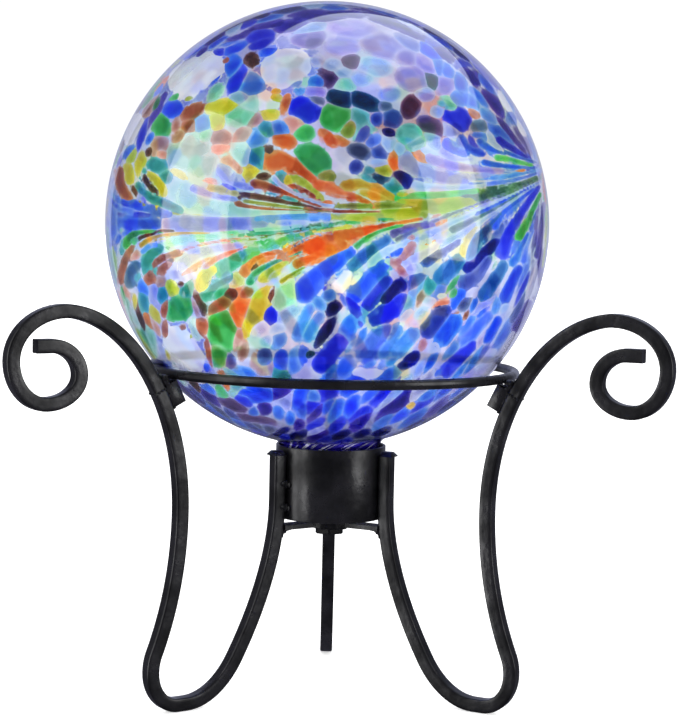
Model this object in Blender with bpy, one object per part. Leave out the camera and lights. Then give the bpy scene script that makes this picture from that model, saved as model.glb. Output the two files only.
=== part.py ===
"""Gazing ball: a blown-glass globe with an open neck, in a black steel stand with three scrolled legs.

Metres, +Z up, the ground at z = 0, the front towards -Y. The object is centred on the origin in X and Y.
A leg is drawn in its own upright plane, as (rho, z): rho is the distance from the stand's axis. A heading
is the direction of travel along the bar in that plane, in degrees: 0 points outwards and 90 points up.
"""

import math

import bmesh
import bpy
from mathutils import Matrix, Vector

# Clearance between pieces that touch
GAP = 0.0003

# Glass globe. Its neck hangs in the collar, starts to flare a little below the rim and ends above the bottom
GLOBE_RADIUS = 0.127
GLASS_WALL = 0.0022
NECK_RADIUS = 0.028
FLARE_BELOW_RIM = 0.0035
NECK_ABOVE_BOTTOM = 0.0045
FLARE_RADIUS = 0.008
GLOBE_LEAN = 1.95

# Collar tube, and the plate and boss under it. The leaning neck crosses the tube's axis below the rim
COLLAR_PLAY = 0.0024
PIVOT_BELOW_RIM = 0.0108
COLLAR_WALL = 0.0015
COLLAR_HEIGHT = 0.0416
COLLAR_BOTTOM = 0.1030
PLATE_DROP = 0.0032
PLATE_THICKNESS = 0.0026
PLATE_HUB_RADIUS = 0.0135
PLATE_ARM_WIDTH = 0.010
BOSS_ACROSS_CORNERS = 0.0185
BOSS_HEIGHT = 0.0044

# Ring of round wire
RING_WIRE = 0.0055
RING_LATITUDE = 39.4

# Square bar of the legs, and the directions in which they stand, turned from the front towards +X
BAR = 0.0075
BAR_EDGE = 0.0008
LEG_TURNS = {"left": -57.0, "right": 63.0, "rear": 180.0}
BAR_TOP_BELOW_RIM = 0.0024

# Leg loop, from the collar to the ring: places along the bar's centreline
SWEEP_UP_COLLAR = 0.011
HEEL_IN = 0.0527
HEEL_Z = 0.0258
HEEL_HEADING = -60.8
FOOT_IN = 0.0190
FOOT_FLAT = 0.006
TOE_Z = 0.0231
TOE_RISE_IN = 0.0019
TOE_RISE_UP = 0.0106
TOE_RISE_HEADING = 111.9
TOE_OUT_OF_SEAM = 0.0022
WAIST_IN_OF_SEAM = 0.0148
WAIST_Z = 0.1136

# Scroll arm, from the seam near the ring to its tip: places along the centreline, from the seam
SEAM_BELOW_RING = 0.0093
SEAM_HEADING = 63.4
SHOULDER = (0.0450, 0.0425)
SHOULDER_HEADING = 15.5
SCROLL_TOP = (0.0553, 0.0442)
SCROLL_OUTSIDE = (0.0855, 0.0184)
SCROLL_BOTTOM = (0.0660, -0.0048)
SCROLL_INSIDE = (0.0468, 0.0100)
SCROLL_CURL = (0.0634, 0.0259)
SCROLL_END = 0.0087

# Lug between leg and ring, and how far inside the lug's middle the wire lies on its end
LUG_LENGTH = 0.0135
WIRE_INSIDE_LUG = 0.0038

# Fineness of the round shapes
GLOBE_SIDES = 40
GLOBE_STEP = 8.0
FLARE_STEPS = 4
COLLAR_SIDES = 40
RING_SIDES = 56
WIRE_SIDES = 8
HUB_STEPS = 6
BOSS_SIDES = 6
BEND_STEP = 11.0
SWEEP_STEPS = 4

# Edges steeper than these, in degrees, are rounded, and are drawn sharp
ROUNDED_EDGE = 50
SHARP_EDGE = 35

# Profile points this close together on the axis of a turned piece are one
MERGE = 0.00005

GLASS = ("glass", (0.22, 0.28, 0.85, 0.35), 0.05, 0.0)
BLACK = ("black_powder_coat", (0.020, 0.020, 0.023, 1.0), 0.42, 0.0)


def clear_scene():
    for obj in list(bpy.data.objects):
        bpy.data.objects.remove(obj)


def material(name, colour, roughness, metallic):
    made = bpy.data.materials.get(name)
    if made:
        return made
    made = bpy.data.materials.new(name)
    made.use_nodes = True
    shader = made.node_tree.nodes["Principled BSDF"]
    shader.inputs["Base Color"].default_value = colour
    shader.inputs["Roughness"].default_value = roughness
    shader.inputs["Metallic"].default_value = metallic
    return made


def add_object(name, bm, look, parent):
    mesh = bpy.data.meshes.new(name)
    bm.to_mesh(mesh)
    bm.free()
    mesh.materials.append(material(*look))
    obj = bpy.data.objects.new(name, mesh)
    bpy.context.collection.objects.link(obj)
    obj.parent = parent
    return obj


def add_empty(name, parent=None):
    empty = bpy.data.objects.new(name, None)
    bpy.context.collection.objects.link(empty)
    empty.parent = parent
    return empty


def bevel_edges(obj, width):
    """Rounds the steep edges only, so the facets along a bend keep their corners."""
    bevel = obj.modifiers.new("edges", "BEVEL")
    bevel.width = width
    bevel.segments = 1
    bevel.limit_method = "ANGLE"
    bevel.angle_limit = math.radians(ROUNDED_EDGE)
    obj.data.shade_smooth()
    obj.data.set_sharp_from_angle(angle=math.radians(SHARP_EDGE))


def turned(name, profile, sides, look, parent, closed):
    """A solid of revolution from a profile in (radius, z) that runs down its outer side."""
    bm = bmesh.new()
    points = [bm.verts.new((radius, 0, z)) for radius, z in profile]
    for first, second in zip(points, points[1:]):
        bm.edges.new((first, second))
    if closed:
        bm.edges.new((points[-1], points[0]))
    obj = add_object(name, bm, look, parent)
    screw = obj.modifiers.new("turn", "SCREW")
    screw.steps = sides
    screw.render_steps = sides
    screw.use_merge_vertices = True
    screw.merge_threshold = MERGE
    screw.use_smooth_shade = True
    return obj


def arc(centre, radius, start, end, steps):
    """Points along a circle, from one angle in degrees to another, both ends included."""
    found = []
    for step in range(steps + 1):
        angle = math.radians(start + (end - start) * step / steps)
        found.append((centre[0] + radius * math.cos(angle), centre[1] + radius * math.sin(angle)))
    return found


def direction(heading):
    return Vector((math.cos(math.radians(heading)), math.sin(math.radians(heading))))


def bend(start, end):
    """A smooth bend between two stations, each (rho, z, heading), which it leaves and meets along the headings.

    Both handles point at the corner where the two headings cross, as on an arc of a circle or an ellipse.
    """
    first, last = Vector(start[:2]), Vector(end[:2])
    out, back = direction(start[2]), direction(end[2])
    turn = math.radians(end[2] - start[2])
    cross = out.x * back.y - out.y * back.x
    between = last - first
    if start[2] == end[2]:
        return [(first, start[2]), (last, end[2])]
    reach_out = (between.x * back.y - between.y * back.x) / cross
    reach_back = (out.x * between.y - out.y * between.x) / cross
    share = 4 / 3 * math.tan(abs(turn) / 4) / math.tan(abs(turn) / 2)
    handle_out = first + out * reach_out * share
    handle_back = last - back * reach_back * share
    steps = max(SWEEP_STEPS, math.ceil(abs(end[2] - start[2]) / BEND_STEP))
    found = []
    for step in range(steps + 1):
        t = step / steps
        s = 1 - t
        place = first * s**3 + handle_out * (3 * s * s * t) + handle_back * (3 * s * t * t) + last * t**3
        slope = (
            (handle_out - first) * s * s
            + (handle_back - handle_out) * 2 * s * t
            + (last - handle_back) * t * t
        )
        found.append((place, math.degrees(math.atan2(slope.y, slope.x))))
    return found


def centreline(stations):
    """The places and headings along a bar through its stations."""
    found = []
    for start, end in zip(stations, stations[1:]):
        stretch = bend(start, end)
        found += stretch if not found else stretch[1:]
    return found


def rho_at(line, height):
    """How far out a centreline is at a height, on its last pass there, and its heading."""

    def off_height(span):
        low, high = sorted(place.y for place, _ in span)
        return max(low - height, height - high, 0)

    spans = [span for span in zip(line, line[1:]) if span[0][0].y != span[1][0].y]
    (start, heading), (end, next_heading) = min(reversed(spans), key=off_height)
    share = (height - start.y) / (end.y - start.y)
    return start.x + (end.x - start.x) * share, heading + (next_heading - heading) * share


def bent_bar(name, line, look, parent, turn):
    """A square bar along a centreline, in the upright plane that is turned by an angle from the front."""
    bm = bmesh.new()
    pairs = []
    for place, heading in line:
        side = direction(heading + 90) * (BAR / 2)
        left, right = place + side, place - side
        pairs.append((bm.verts.new((left.x, 0, left.y)), bm.verts.new((right.x, 0, right.y))))
    for (left, right), (next_left, next_right) in zip(pairs, pairs[1:]):
        bm.faces.new((left, right, next_right, next_left))
    obj = add_object(name, bm, look, parent)
    thick = obj.modifiers.new("bar", "SOLIDIFY")
    thick.thickness = BAR
    thick.offset = 0
    bevel_edges(obj, BAR_EDGE)
    obj.rotation_euler.z = math.radians(turn - 90)
    return obj


def globe_profile():
    """The glass in (radius, z) from its centre: down the outside, round the mouth and up the inside."""
    flare_rho = NECK_RADIUS + FLARE_RADIUS
    flare_z = -math.sqrt((GLOBE_RADIUS + FLARE_RADIUS) ** 2 - flare_rho**2)
    end_angle = math.degrees(math.atan2(flare_z, flare_rho))
    rows_above = math.ceil(90 / GLOBE_STEP)
    rows_below = math.ceil(-end_angle / GLOBE_STEP)
    neck_length = COLLAR_HEIGHT - NECK_ABOVE_BOTTOM - FLARE_BELOW_RIM
    mouth = flare_z - neck_length

    def side(inset):
        ball = arc((0, 0), GLOBE_RADIUS - inset, 90, 0, rows_above)
        ball[0] = (0.0, GLOBE_RADIUS - inset)
        ball += arc((0, 0), GLOBE_RADIUS - inset, 0, end_angle, rows_below)[1:]
        flare = arc((flare_rho, flare_z), FLARE_RADIUS + inset, 180 + end_angle, 180, FLARE_STEPS)
        return ball + flare[1:] + [(NECK_RADIUS - inset, mouth)]

    return side(0) + side(GLASS_WALL)[::-1], -flare_z


def place_globe(globe, flare_down):
    """Hangs the neck in the collar and leans the globe towards -X. Returns the leaning ball's centre."""
    lean = math.radians(GLOBE_LEAN)
    pivot_z = COLLAR_BOTTOM + COLLAR_HEIGHT - PIVOT_BELOW_RIM
    up = flare_down + PIVOT_BELOW_RIM - FLARE_BELOW_RIM
    globe.location = (-up * math.sin(lean), 0, pivot_z + up * math.cos(lean))
    globe.rotation_euler.y = -lean
    return globe.location.x, globe.location.z


def build_globe(stand):
    profile, flare_down = globe_profile()
    globe = turned("globe", profile, GLOBE_SIDES, GLASS, stand, closed=False)
    return place_globe(globe, flare_down)


def build_ring(stand, radius, height):
    bm = bmesh.new()
    bmesh.ops.create_circle(bm, segments=WIRE_SIDES, radius=RING_WIRE / 2)
    bm.transform(
        Matrix.Translation((radius, 0, height))
        @ Matrix.Rotation(math.radians(90), 4, "X")
        @ Matrix.Rotation(math.radians(180 / WIRE_SIDES), 4, "Z")
    )
    bmesh.ops.spin(
        bm,
        geom=bm.edges[:],
        cent=(0, 0, 0),
        axis=(0, 0, 1),
        angle=math.radians(360),
        steps=RING_SIDES,
        use_merge=True,
    )
    bmesh.ops.recalc_face_normals(bm, faces=bm.faces)
    obj = add_object("ring", bm, BLACK, stand)
    obj.data.shade_smooth()


def build_collar(stand, inner):
    top = COLLAR_BOTTOM + COLLAR_HEIGHT
    outer = inner + COLLAR_WALL
    profile = [(outer, top), (outer, COLLAR_BOTTOM), (inner, COLLAR_BOTTOM), (inner, top)]
    collar = turned("collar", profile, COLLAR_SIDES, BLACK, stand, closed=True)
    collar.data.set_sharp_from_angle(angle=math.radians(SHARP_EDGE))


def build_plate(stand, arm_reach):
    """A hub with an arm to each leg, and the boss under it."""
    half = PLATE_ARM_WIDTH / 2
    corner = math.degrees(math.asin(half / PLATE_HUB_RADIUS))
    angles = sorted(turn - 90 for turn in LEG_TURNS.values())
    outline = []
    for angle, following in zip(angles, angles[1:] + [angles[0] + 360]):
        out = direction(angle)
        aside = direction(angle + 90)
        outline += [out * arm_reach - aside * half, out * arm_reach + aside * half]
        outline += arc((0, 0), PLATE_HUB_RADIUS, angle + corner, following - corner, HUB_STEPS)
    top = COLLAR_BOTTOM - PLATE_DROP
    bm = bmesh.new()
    face = bm.faces.new([bm.verts.new((x, y, top)) for x, y in outline])
    extruded = bmesh.ops.extrude_face_region(bm, geom=[face])
    lower = [item for item in extruded["geom"] if isinstance(item, bmesh.types.BMVert)]
    bmesh.ops.translate(bm, verts=lower, vec=(0, 0, -PLATE_THICKNESS))
    bmesh.ops.recalc_face_normals(bm, faces=bm.faces)
    add_object("base_plate", bm, BLACK, stand)

    bm = bmesh.new()
    bmesh.ops.create_cone(
        bm,
        cap_ends=True,
        segments=BOSS_SIDES,
        radius1=BOSS_ACROSS_CORNERS / 2,
        radius2=BOSS_ACROSS_CORNERS / 2,
        depth=BOSS_HEIGHT,
    )
    boss = add_object("hub_boss", bm, BLACK, stand)
    boss.location.z = top - PLATE_THICKNESS - GAP - BOSS_HEIGHT / 2
    bevel_edges(boss, BAR_EDGE)


def loop_stations(bar_rho, seam):
    """The leg loop: down beside the collar, out to the foot, and up past the waist to the seam."""
    toe_rho = seam[0] + TOE_OUT_OF_SEAM
    foot_rho = toe_rho - FOOT_IN
    return [
        (bar_rho, COLLAR_BOTTOM + COLLAR_HEIGHT - BAR_TOP_BELOW_RIM, -90),
        (bar_rho, COLLAR_BOTTOM + SWEEP_UP_COLLAR, -90),
        (toe_rho - HEEL_IN, HEEL_Z, HEEL_HEADING),
        (foot_rho - FOOT_FLAT / 2, BAR / 2, 0),
        (foot_rho + FOOT_FLAT / 2, BAR / 2, 0),
        (toe_rho, TOE_Z, 90),
        (toe_rho - TOE_RISE_IN, TOE_Z + TOE_RISE_UP, TOE_RISE_HEADING),
        (seam[0] - WAIST_IN_OF_SEAM, WAIST_Z, 90),
        (seam[0], seam[1], SEAM_HEADING),
    ]


def arm_stations(seam):
    """The scroll arm, from the seam over the top and round to the tip."""
    places = [
        (SHOULDER, SHOULDER_HEADING),
        (SCROLL_TOP, 0),
        (SCROLL_OUTSIDE, -90),
        (SCROLL_BOTTOM, -180),
        (SCROLL_INSIDE, -270),
        (SCROLL_CURL, -360),
        ((SCROLL_CURL[0] + SCROLL_END, SCROLL_CURL[1]), -360),
    ]
    stations = [(seam[0], seam[1], SEAM_HEADING)]
    return stations + [(seam[0] + rho, seam[1] + z, heading) for (rho, z), heading in places]


def build_lug(name, line, ring_radius, ring_height, stand, turn):
    """A short bar laid against the inside of the leg. Its upper end carries the ring's wire."""
    rho, heading = rho_at(line, ring_height - RING_WIRE / 2 - LUG_LENGTH / 2)
    along = direction(heading)
    inwards = direction(heading + 90)
    beside = Vector((rho, ring_height - RING_WIRE / 2 - LUG_LENGTH / 2)) + inwards * (BAR + GAP)
    wire_along = (Vector((ring_radius, ring_height)) - beside).dot(along)
    top = wire_along - RING_WIRE / 2 - GAP
    middle = beside + along * (top - LUG_LENGTH / 2)
    bm = bmesh.new()
    bmesh.ops.create_cube(bm, size=1)
    bmesh.ops.scale(bm, vec=(LUG_LENGTH, BAR, BAR), verts=bm.verts)
    lug = add_object(name, bm, BLACK, stand)
    bevel_edges(lug, BAR_EDGE)
    lug.rotation_euler = (0, -math.radians(heading), math.radians(turn - 90))
    lug.location = (
        middle.x * math.sin(math.radians(turn)),
        -middle.x * math.cos(math.radians(turn)),
        middle.y,
    )


def build_legs(stand, bar_rho, ring_radius, ring_height):
    """Three legs. Returns how far out the inside of a bar is at the height of the plate."""
    upwards = direction(SEAM_HEADING)
    wire_to_bar = BAR + GAP + WIRE_INSIDE_LUG
    seam_out_of_ring = (wire_to_bar - SEAM_BELOW_RING * upwards.x) / upwards.y
    seam = (ring_radius + seam_out_of_ring, ring_height - SEAM_BELOW_RING)
    cut = upwards * (GAP / 2)
    below_cut = (seam[0] - cut.x, seam[1] - cut.y)
    above_cut = (seam[0] + cut.x, seam[1] + cut.y)
    loop = centreline(loop_stations(bar_rho, below_cut))
    arm = centreline(arm_stations(above_cut))
    for side, turn in LEG_TURNS.items():
        bent_bar("leg_loop_" + side, loop, BLACK, stand, turn)
        bent_bar("scroll_arm_" + side, arm, BLACK, stand, turn)
        build_lug("ring_lug_" + side, loop, ring_radius, ring_height, stand, turn)
    first_pass = [(place, heading) for place, heading in loop if heading < 0 and place.x < seam[0]]
    plate_middle = COLLAR_BOTTOM - PLATE_DROP - PLATE_THICKNESS / 2
    rho, heading = rho_at(first_pass, plate_middle)
    return rho - BAR / 2 / abs(math.sin(math.radians(heading)))


def centre_on_origin(stand):
    """Moves the stand's axis so that the whole object is centred over the origin and stands on z = 0."""
    bpy.context.view_layer.update()
    graph = bpy.context.evaluated_depsgraph_get()
    points = []
    for obj in bpy.data.objects:
        if obj.type != "MESH":
            continue
        evaluated = obj.evaluated_get(graph)
        mesh = evaluated.to_mesh()
        points += [evaluated.matrix_world @ vertex.co for vertex in mesh.vertices]
        evaluated.to_mesh_clear()
    low = [min(point[axis] for point in points) for axis in range(3)]
    high = [max(point[axis] for point in points) for axis in range(3)]
    stand.location = (-(low[0] + high[0]) / 2, -(low[1] + high[1]) / 2, -low[2])


def main():
    clear_scene()
    stand = add_empty("stand_axis")
    ball_x, ball_z = build_globe(stand)
    to_wire = GLOBE_RADIUS + RING_WIRE / 2 + GAP
    ring_radius = to_wire * math.cos(math.radians(RING_LATITUDE)) - ball_x
    ring_height = ball_z - to_wire * math.sin(math.radians(RING_LATITUDE))
    build_ring(stand, ring_radius, ring_height)
    collar_inner = NECK_RADIUS + COLLAR_PLAY
    build_collar(stand, collar_inner)
    bar_rho = collar_inner + COLLAR_WALL + GAP + BAR / 2
    bar_inside = build_legs(stand, bar_rho, ring_radius, ring_height)
    build_plate(stand, bar_inside - GAP)
    centre_on_origin(stand)


main()
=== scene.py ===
"""Looks of the gazing ball: a blown-glass globe with melted-in chips, in a black powder-coated scroll stand.

Metres, +Z up, the ground at z = 0, the front towards -Y, as in the solids. A leg is drawn in its own upright
plane as (rho, z), where rho is the distance from the stand's axis, and then turned into place.
"""

import math

import bmesh
import bpy
import numpy as np
from mathutils import Matrix, Vector


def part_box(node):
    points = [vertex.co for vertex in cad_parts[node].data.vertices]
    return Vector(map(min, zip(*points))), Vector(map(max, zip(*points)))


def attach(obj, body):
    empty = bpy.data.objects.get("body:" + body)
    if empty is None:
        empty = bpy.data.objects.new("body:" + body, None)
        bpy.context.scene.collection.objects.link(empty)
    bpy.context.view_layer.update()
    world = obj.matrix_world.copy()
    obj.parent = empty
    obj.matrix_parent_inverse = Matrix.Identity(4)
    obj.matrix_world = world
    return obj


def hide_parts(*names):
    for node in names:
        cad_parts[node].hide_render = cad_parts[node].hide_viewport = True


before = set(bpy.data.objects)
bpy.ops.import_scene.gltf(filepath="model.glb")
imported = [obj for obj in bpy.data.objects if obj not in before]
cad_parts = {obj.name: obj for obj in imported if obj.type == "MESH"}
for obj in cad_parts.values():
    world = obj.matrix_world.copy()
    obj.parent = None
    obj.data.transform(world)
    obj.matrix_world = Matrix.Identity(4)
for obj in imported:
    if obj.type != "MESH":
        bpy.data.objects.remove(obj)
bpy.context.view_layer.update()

# Sizes of the solids, in metres and degrees
GAP = 0.0003
GLOBE_RADIUS = 0.127
GLASS_WALL = 0.0022
NECK_RADIUS = 0.028
FLARE_BELOW_RIM = 0.0035
NECK_ABOVE_BOTTOM = 0.0045
FLARE_RADIUS = 0.008
GLOBE_LEAN = math.radians(1.95)
COLLAR_PLAY = 0.0024
PIVOT_BELOW_RIM = 0.0108
COLLAR_WALL = 0.0015
COLLAR_HEIGHT = 0.0416
COLLAR_BOTTOM = 0.1030
PLATE_DROP = 0.0032
PLATE_THICKNESS = 0.0026
PLATE_ARM_WIDTH = 0.010
BOSS_ACROSS_CORNERS = 0.0185
RING_WIRE = 0.0055
RING_LATITUDE = math.radians(39.4)
BAR = 0.0075
BAR_ROUNDING = 0.0009
LEG_TURNS = {"left": -57.0, "right": 63.0, "rear": 180.0}
BAR_TOP_BELOW_RIM = 0.0024
SWEEP_UP_COLLAR = 0.011
HEEL_IN = 0.0527
HEEL_Z = 0.0258
HEEL_HEADING = -60.8
FOOT_IN = 0.0190
FOOT_FLAT = 0.006
TOE_Z = 0.0231
TOE_RISE_IN = 0.0019
TOE_RISE_UP = 0.0106
TOE_RISE_HEADING = 111.9
TOE_OUT_OF_SEAM = 0.0022
WAIST_IN_OF_SEAM = 0.0148
WAIST_Z = 0.1136
SEAM_BELOW_RING = 0.0093
SEAM_HEADING = 63.4
SHOULDER = (0.0450, 0.0425)
SHOULDER_HEADING = 15.5
SCROLL_TOP = (0.0553, 0.0442)
SCROLL_OUTSIDE = (0.0855, 0.0184)
SCROLL_BOTTOM = (0.0660, -0.0048)
SCROLL_INSIDE = (0.0468, 0.0100)
SCROLL_CURL = (0.0634, 0.0259)
SCROLL_END = 0.0087
LUG_LENGTH = 0.0135
WIRE_INSIDE_LUG = 0.0038

# Where the stand's axis is, from the collar's own box
COLLAR_LOW, COLLAR_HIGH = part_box("collar")
AXIS = Vector(((COLLAR_LOW.x + COLLAR_HIGH.x) / 2, (COLLAR_LOW.y + COLLAR_HIGH.y) / 2, 0))

# The middle of the flare's own circle: its distance from the neck's axis, and its angle from straight down
FLARE_RHO = NECK_RADIUS + FLARE_RADIUS
FLARE_START = math.asin(FLARE_RHO / (GLOBE_RADIUS + FLARE_RADIUS))


def globe_place():
    """The leaning ball's centre, and how far the mouth and the flare are below it along its own axis."""
    flare_down = math.sqrt((GLOBE_RADIUS + FLARE_RADIUS) ** 2 - FLARE_RHO**2)
    mouth_down = flare_down + COLLAR_HEIGHT - NECK_ABOVE_BOTTOM - FLARE_BELOW_RIM
    pivot_z = COLLAR_BOTTOM + COLLAR_HEIGHT - PIVOT_BELOW_RIM
    up = flare_down + PIVOT_BELOW_RIM - FLARE_BELOW_RIM
    centre = AXIS + Vector((-up * math.sin(GLOBE_LEAN), 0, pivot_z + up * math.cos(GLOBE_LEAN)))
    return centre, flare_down, mouth_down


GLOBE_CENTRE, FLARE_DOWN, MOUTH_DOWN = globe_place()
TO_WIRE = GLOBE_RADIUS + RING_WIRE / 2 + GAP
RING_RADIUS = TO_WIRE * math.cos(RING_LATITUDE) + AXIS.x - GLOBE_CENTRE.x
RING_HEIGHT = GLOBE_CENTRE.z - TO_WIRE * math.sin(RING_LATITUDE)
COLLAR_OUTER = NECK_RADIUS + COLLAR_PLAY + COLLAR_WALL
PLATE_UNDER = COLLAR_BOTTOM - PLATE_DROP - PLATE_THICKNESS
BAR_RHO = COLLAR_OUTER + GAP + BAR / 2
# The sheared top of a bar is a lid of its own, that starts this far below the bar's height
LID_SINK = 0.0020
BAR_TOP = COLLAR_BOTTOM + COLLAR_HEIGHT - BAR_TOP_BELOW_RIM - LID_SINK
SEAM_ALONG = Vector((math.cos(math.radians(SEAM_HEADING)), math.sin(math.radians(SEAM_HEADING))))
SEAM_OUT = (BAR + GAP + WIRE_INSIDE_LUG - SEAM_BELOW_RING * SEAM_ALONG.x) / SEAM_ALONG.y
SEAM = (RING_RADIUS + SEAM_OUT, RING_HEIGHT - SEAM_BELOW_RING)


# Small helpers


def deselect_all():
    if bpy.context.object and bpy.context.object.mode != "OBJECT":
        bpy.ops.object.mode_set(mode="OBJECT")
    bpy.ops.object.select_all(action="DESELECT")


def named(name):
    """Names the object that an operator has just added, and its data."""
    obj = bpy.context.object
    obj.name = name
    obj.data.name = name
    return obj


def pick(obj):
    deselect_all()
    obj.select_set(True)
    bpy.context.view_layer.objects.active = obj


def settle(obj):
    """Puts an object's place, turn and scale into its mesh."""
    pick(obj)
    bpy.ops.object.transform_apply(location=True, rotation=True, scale=True)


def apply_modifier(obj, kind, **settings):
    pick(obj)
    modifier = obj.modifiers.new(kind.lower(), kind)
    for key, value in settings.items():
        setattr(modifier, key, value)
    bpy.ops.object.modifier_apply(modifier=modifier.name)


def smooth(obj, angle=35):
    pick(obj)
    bpy.ops.object.shade_smooth_by_angle(angle=math.radians(angle))


def into_leg(side):
    """Takes (rho, across, z) of a leg's own plane to its place round the stand's axis."""
    return Matrix.Translation(AXIS) @ Matrix.Rotation(math.radians(LEG_TURNS[side] - 90), 4, "Z")


def direction(heading):
    return Vector((math.cos(math.radians(heading)), math.sin(math.radians(heading))))


# Materials


def new_material(name):
    made = bpy.data.materials.new(name)
    made.use_nodes = True
    nodes = made.node_tree.nodes
    return made, nodes, made.node_tree.links, nodes["Principled BSDF"]


# The powder coat. Grains are noise to the metre, and its patches run from dull to rubbed
RUB_GRAIN = 55
DENT_GRAIN = 120
PEEL_GRAIN = 900
RUB_TONE_RANGE = (0.40, 0.68)
RUB_GLOSS_RANGE = (0.35, 0.65)
TONE_DULL = (0.0014, 0.0013, 0.0019, 1)
TONE_RUBBED = (0.0068, 0.0064, 0.0084, 1)
ROUGHNESS_DULL, ROUGHNESS_RUBBED = 0.40, 0.24
SHINE_DULL, SHINE_RUBBED = 0.36, 0.80
DENT_STRENGTH, DENT_DEPTH = 0.55, 0.0007
PEEL_STRENGTH, PEEL_DEPTH = 0.25, 0.0001


def powder_coat():
    """Satin black powder coat: a fine orange peel over the bar's dents, with rubbed, glossier patches."""
    made, nodes, links, shader = new_material("black_powder_coat_satin")
    shader.inputs["Coat Weight"].default_value = 0.1
    shader.inputs["Coat Roughness"].default_value = 0.25
    place = nodes.new("ShaderNodeTexCoord")

    def noise(scale, detail):
        node = nodes.new("ShaderNodeTexNoise")
        node.inputs["Scale"].default_value = scale
        node.inputs["Detail"].default_value = detail
        links.new(place.outputs["Object"], node.inputs["Vector"])
        return node.outputs["Fac"]

    def ranged(value, start, end):
        node = nodes.new("ShaderNodeMapRange")
        low, high = RUB_GLOSS_RANGE
        for name, number in (("From Min", low), ("From Max", high), ("To Min", start), ("To Max", end)):
            node.inputs[name].default_value = number
        links.new(value, node.inputs["Value"])
        return node.outputs["Result"]

    def bump(height, strength, distance, under=None):
        node = nodes.new("ShaderNodeBump")
        node.inputs["Strength"].default_value = strength
        node.inputs["Distance"].default_value = distance
        links.new(height, node.inputs["Height"])
        if under:
            links.new(under, node.inputs["Normal"])
        return node.outputs["Normal"]

    rubbed = noise(RUB_GRAIN, 5)
    tone = nodes.new("ShaderNodeValToRGB")
    for stop, where, colour in zip(tone.color_ramp.elements, RUB_TONE_RANGE, (TONE_DULL, TONE_RUBBED)):
        stop.position = where
        stop.color = colour
    links.new(rubbed, tone.inputs["Fac"])
    links.new(tone.outputs["Color"], shader.inputs["Base Color"])
    links.new(ranged(rubbed, ROUGHNESS_DULL, ROUGHNESS_RUBBED), shader.inputs["Roughness"])
    links.new(ranged(rubbed, SHINE_DULL, SHINE_RUBBED), shader.inputs["Specular IOR Level"])
    dents = bump(noise(DENT_GRAIN, 3), DENT_STRENGTH, DENT_DEPTH)
    links.new(bump(noise(PEEL_GRAIN, 2), PEEL_STRENGTH, PEEL_DEPTH, dents), shader.inputs["Normal"])
    return made


# How a chip melts into the glass, in millimetres inside its outline, and the powers of its colour there
EDGE_RAGGED = 1.2
EDGE_UNEVEN = 1.4
RAGGED_GRAIN = 280
UNEVEN_GRAIN = 70
CHIP_FRINGE = 0.40
CHIP_SLOPE = 2.3
THIN_DEPTH = 0.52
THICK_DEPTH = 1.12
# Clouds in the glass: their grain, the noise where they start and end, and the powers of the colour from the
# thickest to the thinnest
CLOUD_GRAIN = 140
CLOUD_RANGE = (0.3, 0.7)
CLOUD_DEPTHS = (1.20, 0.90)
# The neck's threads: turns to the radian and to the metre, their stretch along the neck, their grain, the
# noise where they start and end, and the heights over which they fade out where the ball begins
THREAD_TURNS = 9.0
THREAD_RISE = -480.0
THREAD_STRETCH = 60.0
THREAD_GRAIN = 1.4
THREAD_RANGE = (0.55, 0.67)
NECK_FADE = (-0.0008, 0.0010)
NECK_DARK = (0.010, 0.004, 0.28, 1)
NECK_THREADS = (0.85, 0.86, 1.0, 1)
# Slow waves in the ball's surface
WAVE_GRAIN = 30
# How far below the ball's middle its round part ends and the neck's flare starts
FLARE_DOWN_AT_BALL = FLARE_DOWN * GLOBE_RADIUS / (GLOBE_RADIUS + FLARE_RADIUS)


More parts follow.
